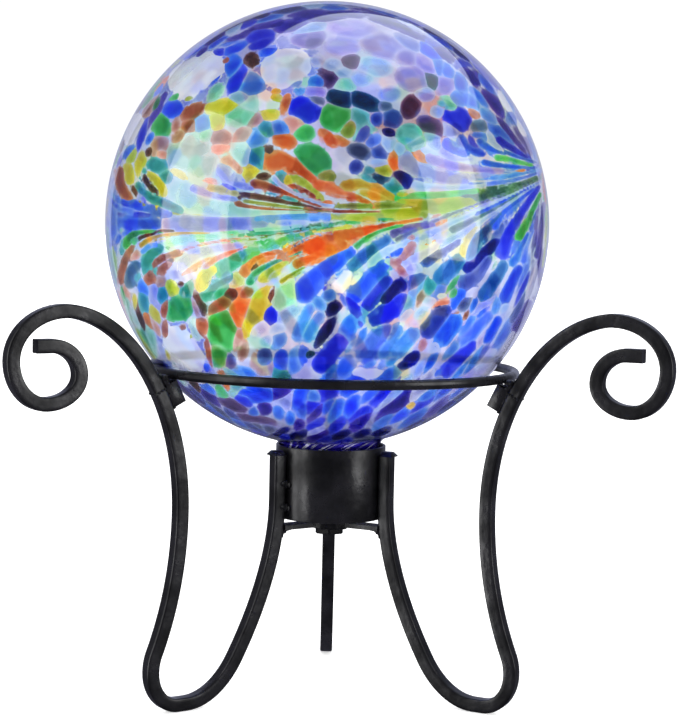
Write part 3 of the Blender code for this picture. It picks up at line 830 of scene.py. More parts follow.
# Chips as seen from the front, by glass: right of and above the ball's middle, length and width in
# millimetres, and the tilt of the length in degrees from level
SEEN_CHIPS = {
    "white": [
        (22, -86, 17, 7, 0), (107, 4, 30, 2, 52),
    ],
    "deep": [
        (-106, 51, 18, 4.6, 72), (-51, 82, 17, 8, 60), (-62, 97, 11, 7, 15), (-39, 108, 18, 9, 10),
        (-37, 102, 13, 5.4, 20), (-13, 64, 18, 14, 0), (-84, 81, 29, 5.3, 58), (-106, 4, 33, 8, 0),
        (74, 59, 16, 13, -30), (82, 44, 15, 8, -35), (77, 90, 13, 7, -35), (61, 102, 29, 5.4, -33),
        (-33, -54, 12, 8, 105), (-6, -115, 14, 5.3, 40), (106, -5, 27, 9, 62), (6, -116, 14, 6, 50),
        (-6, -34, 22, 12.6, 48), (26, -33, 16, 9.6, 45), (35, -51, 22, 10.8, 45),
        (17, -54, 13, 7.2, -65), (8, -66, 16, 5.4, 55), (113, -35, 24, 3, 66), (77, -77, 18, 7.8, 50),
        (71, -84, 13, 6, 50),
    ],
    "royal": [
        (-88, 66, 13, 11, 30), (-64, 81, 17, 3.5, 45), (-33, 97, 14, 7, 25), (-56, 102, 18, 3.5, 15),
        (-118, 11, 19, 5.3, -45), (73, 44, 11, 6, -50), (91, 78, 18, 4.4, -48), (-106, 0, 37, 13, 0),
        (-117, -8, 19, 5.3, 40), (-69, -83, 8, 5.4, 115), (-26, -80, 13, 8, 85), (-39, -98, 18, 10, 0),
        (-48, -98, 9, 6, 0), (-16, -102, 18, 9, 60), (-14, -108, 11, 7, 70), (0, -106, 13, 6, 60),
        (107, -16, 18, 5.8, 65), (14, -106, 15, 8, 55), (25, -99, 16, 5.3, 40), (94, 30, 36, 2.9, -12),
        (99, 22, 37, 2.3, 5), (100, 9, 39, 3.4, 34), (106, 7, 25, 3.4, 47), (117, -3, 39, 3.4, 78),
        (2, -26, 23, 11.4, 42), (15, -23, 12, 7.2, 35), (28, -42, 18, 7.8, 56), (29, -52, 8, 4.8, 40),
        (10, -45, 12, 4.2, -60), (-15, -77, 12, 7.8, 70), (105, -35, 20, 6.6, 64),
        (112, -16, 16, 4.2, 66), (89, -52, 12, 4.8, 52), (95, -62, 17, 4.8, 60), (65, -85, 13, 3.6, 50),
    ],
    "pine": [
        (-97, 67, 10, 5.3, 60),
    ],
    "lime": [
        (-79, 71, 9, 4.8, 20), (-19, 10, 44, 2.3, -10), (45, 7, 35, 4.4, 3), (49, 9, 46, 4.9, -2),
        (-16, -10, 25, 3.5, 18), (-32, -29, 16, 7, 35), (-88, -37, 10, 8, 90), (-78, -66, 7, 3.5, 90),
        (-45, -10, 46, 1.6, 8), (25, 0, 49, 3.5, 4),
    ],
    "green": [
        (-95, 54, 15, 10, 100), (-9, 34, 21, 18, -30), (105, 35, 18, 4.6, -18),
        (-110, -10, 11, 5.4, 10), (-37, -15, 24, 9, 20), (-7, -5, 23, 3.2, 12), (-60, -62, 23, 15, 95),
        (-19, -5, 49, 3.2, 9), (-1, -3, 19, 3.5, 10), (117, 1, 17, 4.6, 70), (103, 19, 30, 2.9, 14),
        (72, -35, 13, 4.8, 50),
    ],
    "rust": [
        (-77, 63, 15, 9, 40), (-58, 92, 7, 4.8, 20), (-117, 20, 17, 6, -65), (-1, 20, 15, 3.9, -12),
        (-28, 18, 29, 4.6, -20), (-6, 6, 26, 1.9, -2), (84, 62, 7, 4.4, -40), (12, 6, 33, 3.3, 0),
        (-94, -26, 23, 7, 38), (-76, -26, 18, 4.2, 28), (-60, -47, 18, 7, 35), (-47, -41, 12, 7, 45),
        (-83, -61, 8, 7, 0), (-72, -60, 10, 8, 90), (-93, -50, 10, 3.9, 80), (-92, -64, 14, 7, 100),
        (-68, -75, 18, 3.9, 100), (74, -52, 6, 3.6, 30), (79, -54, 8, 3, 60),
    ],
    "yellow": [
        (-60, 66, 19, 8, 10), (-63, 58, 12, 8, 90), (-30, 71, 9, 6, 0), (-33, 62, 13, 7, 0),
        (-107, 33, 14, 5.4, 70), (-113, 28, 7, 4.8, 90), (-98, 22, 16, 5.4, -45),
        (-17, 23, 17, 5.4, -25), (-97, 9, 19, 3.2, -28), (-95, -10, 21, 3, 12), (-69, -35, 10, 6, 50),
        (-40, -51, 28, 12, 62), (-98, -54, 12, 4.9, 112), (-110, -47, 13, 3.2, 95),
        (-91, -76, 12, 3.7, 112),
    ],
    "azure": [
        (-72, 56, 11, 10, 0), (-41, 79, 18, 14, 10), (-26, 54, 13, 8, 0), (-16, 75, 7, 4.4, 0),
        (-122, 14, 14, 4.4, -60), (-28, -68, 10, 8, 50), (-18, -79, 15, 9, 70),
        (-46, -86, 17, 5.4, -15), (-7, -100, 11, 8, 0), (-15, 2, 29, 3.2, 2), (-44, -2, 26, 3, 0),
        (101, 3, 20, 3.2, 48), (87, 27, 57, 3.4, -5), (95, 9, 42, 2.9, 29), (11, -19, 17, 7.2, 38),
        (6, -30, 16, 3, 40), (17, -39, 14, 9, 48), (21, -51, 8, 6.6, -50), (1, -42, 10, 6, 20),
        (-14, -57, 20, 6.6, 58), (-8, -59, 20, 5.4, 60), (14, -70, 14, 4.8, 52), (44, -68, 22, 9.6, 55),
        (97, -48, 16, 4.8, 62), (73, -72, 18, 7.2, 55), (25, -81, 13, 6, 40), (99, -16, 10, 4.8, 60),
    ],
    "blue": [
        (-55, 89, 13, 11, 60), (-6, 81, 11, 7, 0), (-101, 48, 8, 3.5, 60), (-113, 41, 11, 5.3, 50),
        (76, 71, 11, 9, 0), (77, 79, 13, 8, 100), (93, 42, 18, 5.3, -25), (101, 49, 24, 10, -45),
        (87, 71, 20, 5.1, -50), (48, 32, 10, 8, -40), (97, 32, 17, 4.2, -12), (97, 26, 33, 3.3, 4),
        (-101, -15, 10, 4.4, 0), (-105, -37, 11, 6, 120), (-42, -109, 7, 6, 0), (-27, -108, 9, 7, 90),
        (-21, -111, 9, 6, 90), (-68, -95, 11, 4.4, -30), (114, -13, 15, 4.4, 75), (5, -108, 14, 8, 60),
        (57, -100, 11, 5.3, 40), (1, -86, 18, 6, 60), (33, -113, 18, 5.3, 40), (49, -113, 19, 4.6, 38),
        (94, 2, 23, 3.9, 40), (102, 24, 30, 2.3, 0), (103, 7, 36, 3.4, 42), (13, -61, 18, 10.2, 50),
        (37, -79, 11, 4.8, 30), (92, -39, 14, 7.2, 56), (106, -17, 14, 4.8, 62), (85, -46, 12, 3.6, 62),
        (70, -62, 19, 9, 58), (85, -78, 19, 4.2, 52), (59, -80, 14, 4.2, 55),
    ],
    "indigo": [
        (-5, 118, 40, 6, 2), (50, 108, 30, 6, -27), (66, 98, 26, 6, -38), (-36, 112, 30, 6, 16),
        (80, 86, 24, 6, -48), (-22, 113, 23, 8, 8), (-96, 66, 26, 4.4, 62), (-50, 106, 29, 4.4, 25),
        (95, 69, 23, 7, -55), (84, 82, 15, 7, -55), (34, 115, 37, 5.4, -20), (12, 119, 29, 4.4, -3),
        (105, 50, 29, 5.3, -50), (-36, -107, 8, 7, 0), (-6, -109, 13, 7, 50), (-16, -116, 9, 5.3, 80),
        (45, -6, 20, 6, 22), (119, -10, 19, 4, 80), (40, -104, 32, 8, 45), (19, -114, 14, 6, 45),
        (122, -13, 54, 2.9, 90), (3, -74, 23, 10.2, 58), (-5, -122.5, 13, 4.6, 25),
    ],
    "umber": [
        (-42, 92, 10, 9, 0), (-102, 23, 11, 3.9, -50), (-102, 40, 6, 3.7, 60), (-37, 26, 11, 6, 5),
        (-32, 39, 11, 8, -40), (-110, 18, 11, 4.4, -60), (-99, -8, 14, 3.7, 14),
        (-89, -21, 11, 4.4, 40), (-43, -26, 13, 4.8, 35), (-54, -42, 10, 8, 0), (-32, -42, 11, 3.5, 65),
        (-73, -45, 17, 6, 110), (-84, -35, 6, 5.3, 0), (-114, -19, 15, 3.5, 60), (4, -12, 9, 4.4, 20),
    ],
    "lilac": [
        (-11, 104, 19, 10, 15), (-7, 74, 11, 7, 0), (49, 82, 18, 13, -12), (57, 90, 15, 8, -40),
        (67, 78, 12, 11, 60),
    ],
    "slate": [
        (-6, 70, 10, 5.3, -30), (20, 40, 15, 8, -15), (33, 66, 8, 5.3, 0), (65, -30, 12, 7.2, 55),
        (78, -47, 13, 6, 58),
    ],
    "ochre": [
        (-29, 75, 8, 5.3, 10), (25, 17, 30, 8, -18), (33, 4, 32, 3.5, 0), (-36, -30, 9, 3.9, 35),
        (82, -8, 11, 4, 70), (48, -106, 7, 4.4, 30),
    ],
    "orange": [
        (-24, 67, 14, 5.4, 75), (-22, 32, 29, 13, -35), (-24, 46, 12, 9, -10), (1, 48, 13, 7, -40),
        (4, 47, 15, 7, -12), (13, 14, 30, 4.4, -15), (-1, 11, 26, 3.5, -14), (-36, -21, 18, 6, 30),
        (-10, -17, 26, 8, 22), (-6, -22, 21, 5.4, 18), (13, -11, 32, 7, 22), (43, -47, 14, 2.7, 42),
    ],
    "mint": [
        (-49, 61, 16, 11, 20), (-64, 75, 13, 8, 60), (-70, 49, 10, 7, 40), (-23, 3, 56, 4.2, 0),
        (10, 79, 13, 10, 0), (51, 44, 13, 9, 30), (-22, -41, 20, 17, 40), (-101, -66, 18, 5.4, 108),
        (-114, -47, 12, 3.7, 95), (-71, -7, 79, 3.9, 3), (-61, -12, 44, 2.6, 8), (66, 10, 47, 5.1, 14),
    ],
    "palemint": [
        (-79, 39, 25, 19, 30), (-70, 32, 19, 14, 0), (-77, 46, 15, 11, 0), (-67, 10, 47, 10, -5),
        (-45, 14, 23, 3.5, -10), (65, -42, 6, 4.2, 0), (42, -59, 7, 6, 0),
    ],
    "tan": [
        (-41, 58, 12, 6, 50), (-47, 50, 13, 8, 30), (-61, 48, 11, 9, 0), (-86, 55, 10, 4.8, 80),
        (-85, 49, 9, 7, 40), (-32, 9, 38, 2.6, -7), (-75, -49, 11, 3.5, 110), (-96, -34, 7, 7, 0),
        (-51, -67, 12, 4.6, 75), (-48, -74, 10, 4.9, 80), (-118, -32, 21, 3.3, 80),
        (52, -10, 11, 6, 30), (48, -19, 8, 5.4, -50), (53, -44, 10, 4.8, 75), (53, -44, 11, 6, 75),
    ],
    "salmon": [
        (-61, 42, 10, 7, 0), (-95, 39, 7, 5.4, -45), (-54, 34, 13, 7, -50), (-66, 23, 10, 4.4, -20),
        (-59, -20, 26, 4.6, 24), (-109, -19, 9, 5.3, 40), (69, -24, 13, 2.4, 38),
        (55, -69, 10, 4.2, 75), (65, -47, 10, 4.8, 20), (42, -26, 12, 4.8, -70), (42, -26, 16, 6, -70),
        (66, -47, 13, 6, 20),
    ],
    "teal": [
        (-97, 32, 11, 10, 0), (-92, 25, 11, 8, -30), (-39, 36, 15, 13, 90), (-98, 16, 18, 7, -40),
        (-104, 28, 7, 3.7, -60), (-35, 53, 10, 8, 0), (-41, -31, 11, 6, 35), (-95, -42, 10, 7, 80),
        (-105, -47, 14, 5.4, 92), (-111, -32, 13, 9, 70), (35, -27, 8, 4.8, 40), (60, -37, 12, 9, 60),
    ],
    "straw": [
        (-83, 26, 15, 6, -38), (-60, 16, 17, 4.6, -12), (-77, 5, 26, 2.6, -6), (71, 4, 26, 4.4, 8),
        (-65, -29, 10, 7, 50), (-51, -33, 12, 9, 30),
    ],
    "periwinkle": [
        (-53, 25, 22, 8, -35), (36, 73, 11, 8, 10), (56, 73, 11, 8, 0), (64, 29, 32, 8, -8),
        (71, 38, 21, 8, -15), (50, 111, 12, 4.4, -20), (57, 24, 23, 6, -6), (-94, -74, 13, 3.7, 112),
        (-68, 0, 40, 9, 2), (84, -2, 21, 3.2, 35), (67, 24, 41, 4.6, 0), (86, 8, 60, 3.4, 24),
        (20, -72, 14, 3.6, 55), (54, -83, 12, 4.8, 60),
    ],
    "olive": [
        (-1, 26, 11, 8, 0), (13, 54, 13, 9, 45), (63, 18, 26, 3.2, -6), (-20, -31, 14, 2.8, 28),
        (-6, -2, 28, 1.8, 6), (38, 1, 29, 4, 8),
    ],
    "leaf": [
        (-13, 51, 11, 9, 0), (6, 60, 18, 17, 0), (50, 14, 29, 5.4, -8), (66, 9, 33, 9, 3),
        (-84, -50, 18, 13, 70), (-62, -76, 13, 9, 90), (-77, -10, 54, 2.6, 4), (21, -10, 22, 4.6, 25),
        (61, 14, 38, 8, 9), (73, -41, 8, 5.4, 60), (80, -19, 7, 3.6, 70),
    ],
    "skypale": [
        (-72, 17, 18, 6, -20), (-50, 71, 11, 7, 0), (3, 89, 11, 8, 0), (42, 40, 11, 7, -60),
        (63, 63, 8, 7, 0), (30, 34, 12, 7, -10), (59, 39, 18, 7, -20), (27, 89, 18, 10, -10),
        (19, 82, 13, 8, 0), (-22, -52, 16, 7, 45), (-34, -68, 8, 7, 0), (-29, -61, 10, 7, 20),
        (-23, 1, 56, 5.8, 2), (-19, -1, 44, 1.9, 6), (66, -17, 25, 5.8, 35), (61, -7, 18, 5.3, 30),
        (75, -3, 23, 3.5, 28), (79, 8, 60, 2.9, 20), (89, -2, 42, 2.3, 38), (20, -27, 18, 4.8, 35),
        (45, -53, 14, 4.8, 50), (-17, -51, 11, 4.8, 40), (29, -60, 12, 4.2, 20), (54, -52, 18, 6, 55),
        (72, -10, 12, 3.6, 30),
    ],
    "lavender": [
        (-7, 92, 11, 8, 0), (-76, -19, 25, 11, 15), (-38, -61, 13, 9, 30), (-66, -15, 37, 4.4, 8),
        (96, -82, 16, 6.6, 50), (106, -71, 19, 4.2, 58), (116, -39, 24, 3, 72), (112, -63, 14, 3, 64),
        (49, -25, 7, 7.2, 0), (63, -70, 11, 6.6, 60), (45, -61, 11, 6.6, 30), (49, -25, 12, 9.6, 0),
        (58, -46, 11, 6.6, 30), (82, -40, 11, 4.8, 50),
    ],
    "navyteal": [
        (21, 68, 19, 10, -25), (31, 25, 21, 6, -12), (-10, -76, 8, 4.2, 10),
    ],
    "slateblue": [
        (37, 59, 11, 10, 0), (28, 59, 9, 8, 0), (21, 52, 12, 7, 65), (17, 31, 8, 8, 0),
        (-36, -79, 12, 8, 80), (-55, -80, 9, 5.3, 100), (49, -35, 14, 7.8, 40), (65, -18, 26, 5.4, 33),
        (62, -57, 20, 9, 52), (90, -73, 17, 3.6, 55),
    ],
    "cornflower": [
        (-122, 3, 40, 5, 90), (28, 46, 11, 8, 30), (-5, -47, 16, 7.2, -55), (26, -70, 22, 10.2, 60),
        (34, -67, 22, 8.4, 58), (86, -61, 25, 7.2, 55), (101, -65, 24, 5.4, 58), (32, -80, 10, 5.4, 50),
    ],
    "navy": [
        (35, 51, 7, 6, 0), (44, 25, 17, 10, -20), (-94, -82, 10, 4.4, -20), (39, -39, 12, 9.6, 55),
        (3, -50, 13, 6.6, 40), (-1, -63, 19, 6.6, 60), (-28, -121, 13, 4.6, 25),
        (-17, -122, 13, 4.6, 25), (7, -122.5, 13, 4.6, 25), (19, -122, 13, 4.6, 25),
        (30, -121, 12, 4.6, 25),
    ],
    "plum": [
        (48, 66, 13, 10, 60), (60, 55, 16, 9, -25), (14, 92, 10, 8, 0), (-53, -105, 18, 6, -20),
        (-41, -113, 23, 5.3, -12), (43, -39, 7, 8.4, 70),
    ],
    "mintteal": [
        (47, 50, 13, 11, 0), (66, 68, 6, 4.6, 0),
    ],
    "slateteal": [
        (87, 54, 10, 8, 0), (44, -34, 7, 5.4, 40),
    ],
    "palegreen": [
        (69, 12, 29, 10, 0), (79, -15, 10, 6, 50), (35, -23, 16, 5.4, 15),
    ],
    "oliveteal": [
        (95, 18, 29, 8, 8), (97, 20, 36, 5.1, 9),
    ],
    "violetpale": [
        (15, 110, 26, 11, -5), (31, 101, 26, 13, -15), (9, 101, 21, 11, 0), (45, 94, 13, 9, -20),
        (89, -85, 13, 4.8, 45), (50, -59, 13, 7.8, 45),
    ],
    "violet": [
        (111, 48, 26, 4.4, -55), (63, -106, 19, 4.4, 42), (119, -7, 54, 3.4, 84),
        (112, -54, 22, 4.8, 62),
    ],
    "tealgreen": [
        (-99, -19, 14, 13, 70), (-54, -23, 18, 9, 25), (-44, -22, 11, 5.3, 25), (-63, -37, 17, 11, 40),
        (-80, -39, 12, 8, 60), (96, -25, 13, 3, 62),
    ],
    "blueteal": [
        (89, -9, 21, 9, 45), (23, -18, 16, 7.8, 40), (72, -26, 14, 9.6, 50), (87, -14, 18, 4.2, 48),
        (86, -30, 23, 8.4, 48), (97, -31, 18, 7.2, 57),
    ],
    "navyblue": [
        (31, -12, 14, 5.4, 38), (47, -79, 13, 7.2, 35), (89, -19, 24, 7.2, 43),
    ],
}

# Streams that the glass was pulled into, by glass: a bend's start, middle and end, right of and above the
# ball's middle, and the stream's width at its start and end, in millimetres
SEEN_STREAMS = {
    "deep": [
        (99, 47, 106, 42, 114, 37, 4.6, 1.7), (101, -17, 105, -5, 121, 20, 8, 2.3),
        (23.5, -47.5, 28, -41.8, 33.7, -34.3, 6, 6.5), (29.2, -55.5, 35.5, -50.3, 40.6, -44.6, 9, 10),
        (12.6, -44.6, 16.6, -51.5, 17.7, -56.6, 4, 6.3),
        (-2.9, -81.2, 3.4, -73.2, 9.2, -66.4, 9.5, 7.5),
        (68.6, -85.2, 74.9, -78.4, 82.4, -70.4, 7, 5.4),
    ],
    "royal": [
        (-116, 11, -107, 9, -90, 4, 4.6, 5.7), (69, 45, 73, 41, 79, 40, 5.1, 4.6),
        (77, 46, 82, 42, 89, 39, 5.7, 2.9), (86, 5, 99, 11, 122, 23, 4.6, 1.7),
        (96, -2, 102, 6, 118, 19, 5.1, 1.7), (-12.6, -39.5, -2.9, -29.2, 13.2, -17.7, 11.5, 6),
        (16, -41.2, 23.5, -34.3, 31.5, -26.3, 8.5, 8),
        (101.8, -43.5, 105.2, -35.5, 109.3, -27.5, 5.4, 4.6),
        (92.1, -66.9, 95, -61.8, 97.8, -56.1, 4.6, 4),
    ],
    "cornflower": [
        (-123, 13, -120, 9, -112, 6, 2.3, 4), (82, 22, 102, 23, 122, 29, 2.9, 1.7),
        (113, -22, 114, -14, 118, -5, 3.4, 1.7), (23.5, -74.4, 27.5, -68.6, 32, -62.9, 12, 10),
        (78.4, -68.6, 84.7, -61.8, 92.1, -53.8, 6.8, 4.8),
    ],
    "periwinkle": [
        (-89, 0, -67, -2, -37, 0, 9.7, 6.3), (-77, 19, -64, 15, -52, 13, 4.6, 2.3),
        (-59, 30, -55, 24, -43, 19, 7.4, 2.3), (45, 35, 65, 26, 91, 26, 8.6, 5.1),
    ],
    "azure": [
        (-41, 1, -21, 3, 13, 3, 4.6, 4), (-105, -17, -101, -14, -97, -14, 2.9, 2.9),
        (82, 25, 102, 26, 122, 30, 3.4, 1.7), (32.6, -74.4, 37.2, -67.5, 40.6, -61.8, 7.5, 7),
        (39.5, -73.2, 44, -68.6, 48.6, -63.5, 9, 8), (-16.6, -65.2, -13.7, -57.2, -9.7, -49.2, 6, 5),
        (-11.4, -65.8, -8, -59.5, -4, -53.8, 5.5, 5),
    ],
    "teal": [
        (-108, 21, -101, 14, -85, 7, 3.4, 5.7),
    ],
    "olive": [
        (-107, 11, -99, 7, -85, 5, 2.3, 2.9), (-47, 12, -27, 9, 2, 6, 2.9, 1.7),
        (-44, -10, -21, -6, 9, -3, 1.4, 1.4), (-26, -34, -20, -30, -13, -26, 2.3, 1.1),
        (5, 9, 25, 9, 51, 10, 2.9, 4),
    ],
    "yellow": [
        (-102, 27, -97, 23, -94, 17, 3.4, 5.1), (-114, 31, -113, 27, -113, 24, 4.6, 4.6),
        (-25, -14, -14, -7, 13, -3, 2.3, 2.9), (-71, -37, -70, -31, -63, -27, 6.9, 4.6),
    ],
    "umber": [
        (-104, 26, -102, 21, -97, 17, 2.9, 3.4), (-50, 15, -33, 13, -3, 7, 4, 1.7),
        (-107, -9, -98, -6, -88, -5, 2.9, 1.7),
    ],
    "rust": [
        (-119, 29, -118, 21, -114, 14, 4.6, 5.1), (-51, 10, -30, 7, 2, 6, 4, 1.7),
        (-41, 22, -30, 19, -4, 9, 4.6, 1.7), (-21, 21, -13, 18, -4, 13, 2.3, 2.3),
        (-101, -33, -98, -23, -84, -18, 5.7, 2.9), (-118, -34, -116, -23, -112, -15, 4, 2.9),
        (-13, 8, 7, 6, 30, 6, 2.9, 1.7),
    ],
    "palemint": [
        (-83, 17, -64, 8, -13, 6, 13.7, 2.9),
    ],
    "straw": [
        (-67, 19, -58, 18, -47, 14, 4, 2.3), (78, -19, 80, -11, 85, -3, 4.6, 2.9),
    ],
    "salmon": [
        (-58, 35, -53, 33, -50, 29, 5.1, 2.9), (-84, -18, -66, -12, -15, -5, 1.7, 1.1),
        (-83, -30, -75, -25, -67, -21, 3.4, 1.7), (-69, -25, -61, -20, -46, -14, 4, 1.1),
        (37, -23, 44, -21, 49, -10, 4, 4.6),
    ],
    "lime": [
        (-23, 24, -14, 23, -3, 13, 4.6, 2.9), (-37, -32, -30, -26, -23, -23, 4.6, 2.9),
        (2, 3, 25, 3, 53, 6, 4.6, 8.6), (43, 13, 60, 10, 82, 13, 6.9, 11.4),
    ],
    "orange": [
        (-31, 35, -20, 33, -7, 23, 10.3, 3.4), (-47, -29, -41, -21, -28, -17, 5.1, 2.3),
        (-25, -21, -10, -12, 13, -5, 6.3, 5.1), (-17, -24, -6, -19, 10, -13, 4.6, 5.7),
        (-6, 21, 7, 18, 27, 9, 5.7, 2.3), (-10, -14, 11, -8, 38, -1, 11.4, 2.3),
        (11, -5, 31, -2, 54, 2, 1.7, 2.3),
    ],
    "skypale": [
        (-30, 25, -15, 14, 5, 9, 2.9, 1.7), (51, 21, 70, 19, 91, 22, 4.6, 3.4),
        (52, -10, 73, 0, 122, 23, 4.6, 1.4), (65, -14, 88, 0, 122, 23, 4, 1.4),
        (26, -23, 37, -15, 59, -8, 5.1, 2.3),
    ],
    "ochre": [
        (-106, -13, -90, -7, -54, -7, 2.9, 1.1), (11, 20, 22, 21, 38, 14, 6.9, 2.9),
    ],
    "green": [
        (-115, -13, -110, -7, -94, -6, 4.6, 1.7), (-47, -21, -33, -14, 3, -2, 6.3, 2.9),
        (2, -1, 22, 1, 43, 3, 2.3, 2.3), (110, -8, 116, 3, 122, 16, 4.6, 1.7),
    ],
    "mint": [
        (-93, -15, -77, -9, -15, -3, 5.1, 2.3),
    ],
    "lavender": [
        (-84, -29, -74, -18, -49, -14, 8.6, 2.9), (44, -23, 55, -19, 65, -12, 5.1, 2.9),
    ],
    "tealgreen": [
        (-61, -27, -46, -19, -14, -8, 8.6, 2.9), (-50, -7, -26, -6, 10, 0, 3.4, 2.9),
        (-44, -34, -37, -27, -15, -17, 4, 1.7), (-101, -27, -101, -19, -92, -14, 8, 4.6),
        (-70, -42, -64, -37, -55, -32, 5.7, 2.9),
    ],
    "pine": [
        (-17, -5, -4, -2, 11, -1, 2.3, 2.3),
    ],
    "slate": [
        (-27, -22, -15, -12, 3, -7, 1.4, 1.1), (40, -10, 65, 2, 122, 24, 3.4, 1.1),
    ],
    "slateteal": [
        (-113, -34, -112, -29, -109, -25, 6.9, 4.6), (72, -4, 89, 4, 110, 16, 4, 1.7),
    ],
    "leaf": [
        (17, -14, 28, -6, 43, -2, 2.9, 1.7), (38, 13, 59, 15, 85, 17, 2.9, 6.9),
        (98, 37, 107, 35, 117, 32, 3.4, 1.7),
    ],
    "violet": [
        (39, -7, 47, -4, 60, -1, 5.1, 3.4), (120, -19, 122, -8, 124, 10, 3.4, 2.3),
        (108.1, -60.6, 112.1, -53.8, 115.5, -46.3, 4.2, 3.4),
    ],
    "oliveteal": [
        (79, 14, 99, 17, 121, 25, 9.7, 2.9),
    ],
    "lilac": [
        (59, 37, 72, 32, 100, 29, 5.7, 2.9),
    ],
    "blue": [
        (90, 34, 102, 32, 120, 31, 2.9, 1.7), (88, 46, 93, 42, 102, 39, 4, 1.7),
        (102, 40, 110, 37, 120, 34, 2.3, 1.1), (106, -23, 110, -17, 115, -7, 4.6, 2.3),
        (10.9, -64.6, 13.2, -58.9, 17.7, -55.5, 8.5, 7.5),
        (65.8, -66.9, 69.8, -61.8, 73.2, -56.6, 8.2, 7.4),
    ],
    "blueteal": [
        (82, -19, 88, -8, 101, 5, 8, 3.4), (14.9, -24.6, 23.5, -17.7, 34.3, -10.3, 7, 4.6),
        (89.8, -42.3, 95.5, -33.7, 100.7, -25.2, 6.3, 5.7),
        (65.8, -32, 70.4, -26.9, 76.1, -21.7, 8.6, 7),
    ],
    "navy": [
        (34.9, -44, 38.3, -40, 42.3, -36, 8.5, 7),
    ],
    "navyblue": [
        (81.2, -25.7, 88.7, -19.4, 96.7, -11.4, 6.5, 4.6),
    ],
    "slateblue": [
        (79.5, -34.9, 86.4, -29.2, 91.5, -21.2, 7.5, 5),
        (56.6, -22.9, 64.6, -17.7, 74.9, -11.4, 4.8, 3.6),
        (57.8, -61.8, 61.8, -56.6, 66.4, -50.9, 8.4, 7.4),
    ],
    "white": [
        (-80.7, 80.1, -74.4, 84.7, -67.5, 88.7, 17, 15),
        (-27.5, 86.9, -22.9, 89.2, -17.7, 89.8, 18, 15),
        (-113.3, 46.9, -111.5, 52.6, -109.3, 58.3, 5, 7),
        (-85.8, -67.5, -82.4, -73.2, -79.5, -79.5, 14, 16),
    ],
}

# Where the pulled chips gather, as seen from the front in millimetres: a knot near each side
KNOTS = ((123, 24), (-126, 4))

# Mixes of glass for the chips that aren't placed one by one
GLASS_MIXES = {
    "deep": ("deep", "royal", "royal", "blue", "indigo", "indigo", "navyblue", "azure", "periwinkle",
             "skypale"),
    "sky": ("azure", "royal", "blue", "cornflower", "deep", "skypale", "periwinkle", "slateblue", "white"),
    "mixed": ("green", "leaf", "yellow", "rust", "teal", "azure", "mint", "umber", "royal", "orange",
              "tealgreen", "salmon", "tan", "deep", "lime", "palemint", "white", "periwinkle"),
    "dusk": ("lilac", "periwinkle", "slateblue", "plum", "azure", "navyteal", "blue", "mintteal", "skypale"),
    "haze": ("skypale", "lavender", "azure", "periwinkle", "slateblue", "salmon", "mintteal", "blue",
             "violetpale", "cornflower"),
    "low": ("deep", "royal", "slateblue", "indigo", "violet", "blue", "slate", "navyblue", "periwinkle"),
    "neck": ("navyblue", "indigo", "navy", "deep", "indigo", "navyblue"),
    "fan": ("green", "lime", "blue", "royal", "teal", "yellow", "orange", "skypale", "palegreen", "deep"),
}

# Which mix lies where: azimuth from the front towards +X and elevation, in degrees
MIX_PLACES = (
    (0, 88, "deep"), (0, 62, "dusk"), (60, 60, "deep"), (-60, 60, "deep"), (120, 55, "sky"),
    (-120, 55, "deep"), (180, 62, "dusk"), (-60, 30, "mixed"), (-25, 30, "mixed"), (20, 30, "dusk"),
    (60, 30, "sky"), (100, 28, "mixed"), (140, 30, "mixed"), (180, 30, "dusk"), (-140, 30, "mixed"),
    (-100, 30, "sky"), (-75, 2, "fan"), (-30, 2, "fan"), (20, 4, "fan"), (70, 8, "fan"), (110, 6, "fan"),
    (150, 2, "fan"), (-150, 2, "fan"), (-110, 4, "fan"), (-60, -25, "mixed"), (-25, -25, "mixed"),
    (10, -30, "sky"), (45, -25, "haze"), (80, -28, "haze"), (120, -25, "sky"), (160, -28, "mixed"),
    (-160, -25, "mixed"), (-110, -25, "sky"), (0, -60, "low"), (90, -60, "low"), (180, -60, "low"),
    (-90, -60, "low"), (0, -72, "low"), (120, -72, "deep"), (240, -72, "low"), (0, -88, "neck"),
)
LOOSE_CHIPS = 1500
LOOSE_SEED = 11
# A stream keeps its outline against placed chips, and those against loose ones, by these shares of reach
STREAM_LEAD = 0.75
PLACED_LEAD = 0.2
STREAM_STEPS = 9
CORNER_ROUNDING = 0.45
# Two chips of one glass are one where both reach this far over each other
MELTED_REACH = 0.8
# and two of different glass run into each other from here
MIXED_REACH = 0.7
# Millimetres inside its outline at which a wide chip has its full depth
FULL_DEPTH = 2.4
# Opaque white chips have a bluish outline
WHITE_RIM = (138, 150, 225)
# Light that passes a chip twice is this power of its colour, and no two chips are of quite one strength
DEPTH = 1.45
PALEST_SHARE = 0.82
PALE_SPREAD = 0.36
CLEAREST = 0.98
# A chip ends at this share of its half axes, where no other one meets it
CHIP_END = 1.15
# The far side's chips that are placed as seen from the front are out of reach there
OUT_OF_REACH = 50
# Farther than any point is from a stream, in its half widths
FARTHEST = 60.0
POINTS_AT_ONCE = 1500
# What is added to the millimetres inside a stream's and any other chip's outline
STREAM_EDGE = 0.45
CHIP_EDGE = 0.25


def linear(colour):
    """An sRGB colour as linear light."""
    share = np.asarray(colour, float) / 255
    return np.where(share <= 0.04045, share / 12.92, ((share + 0.055) / 1.055) ** 2.4)


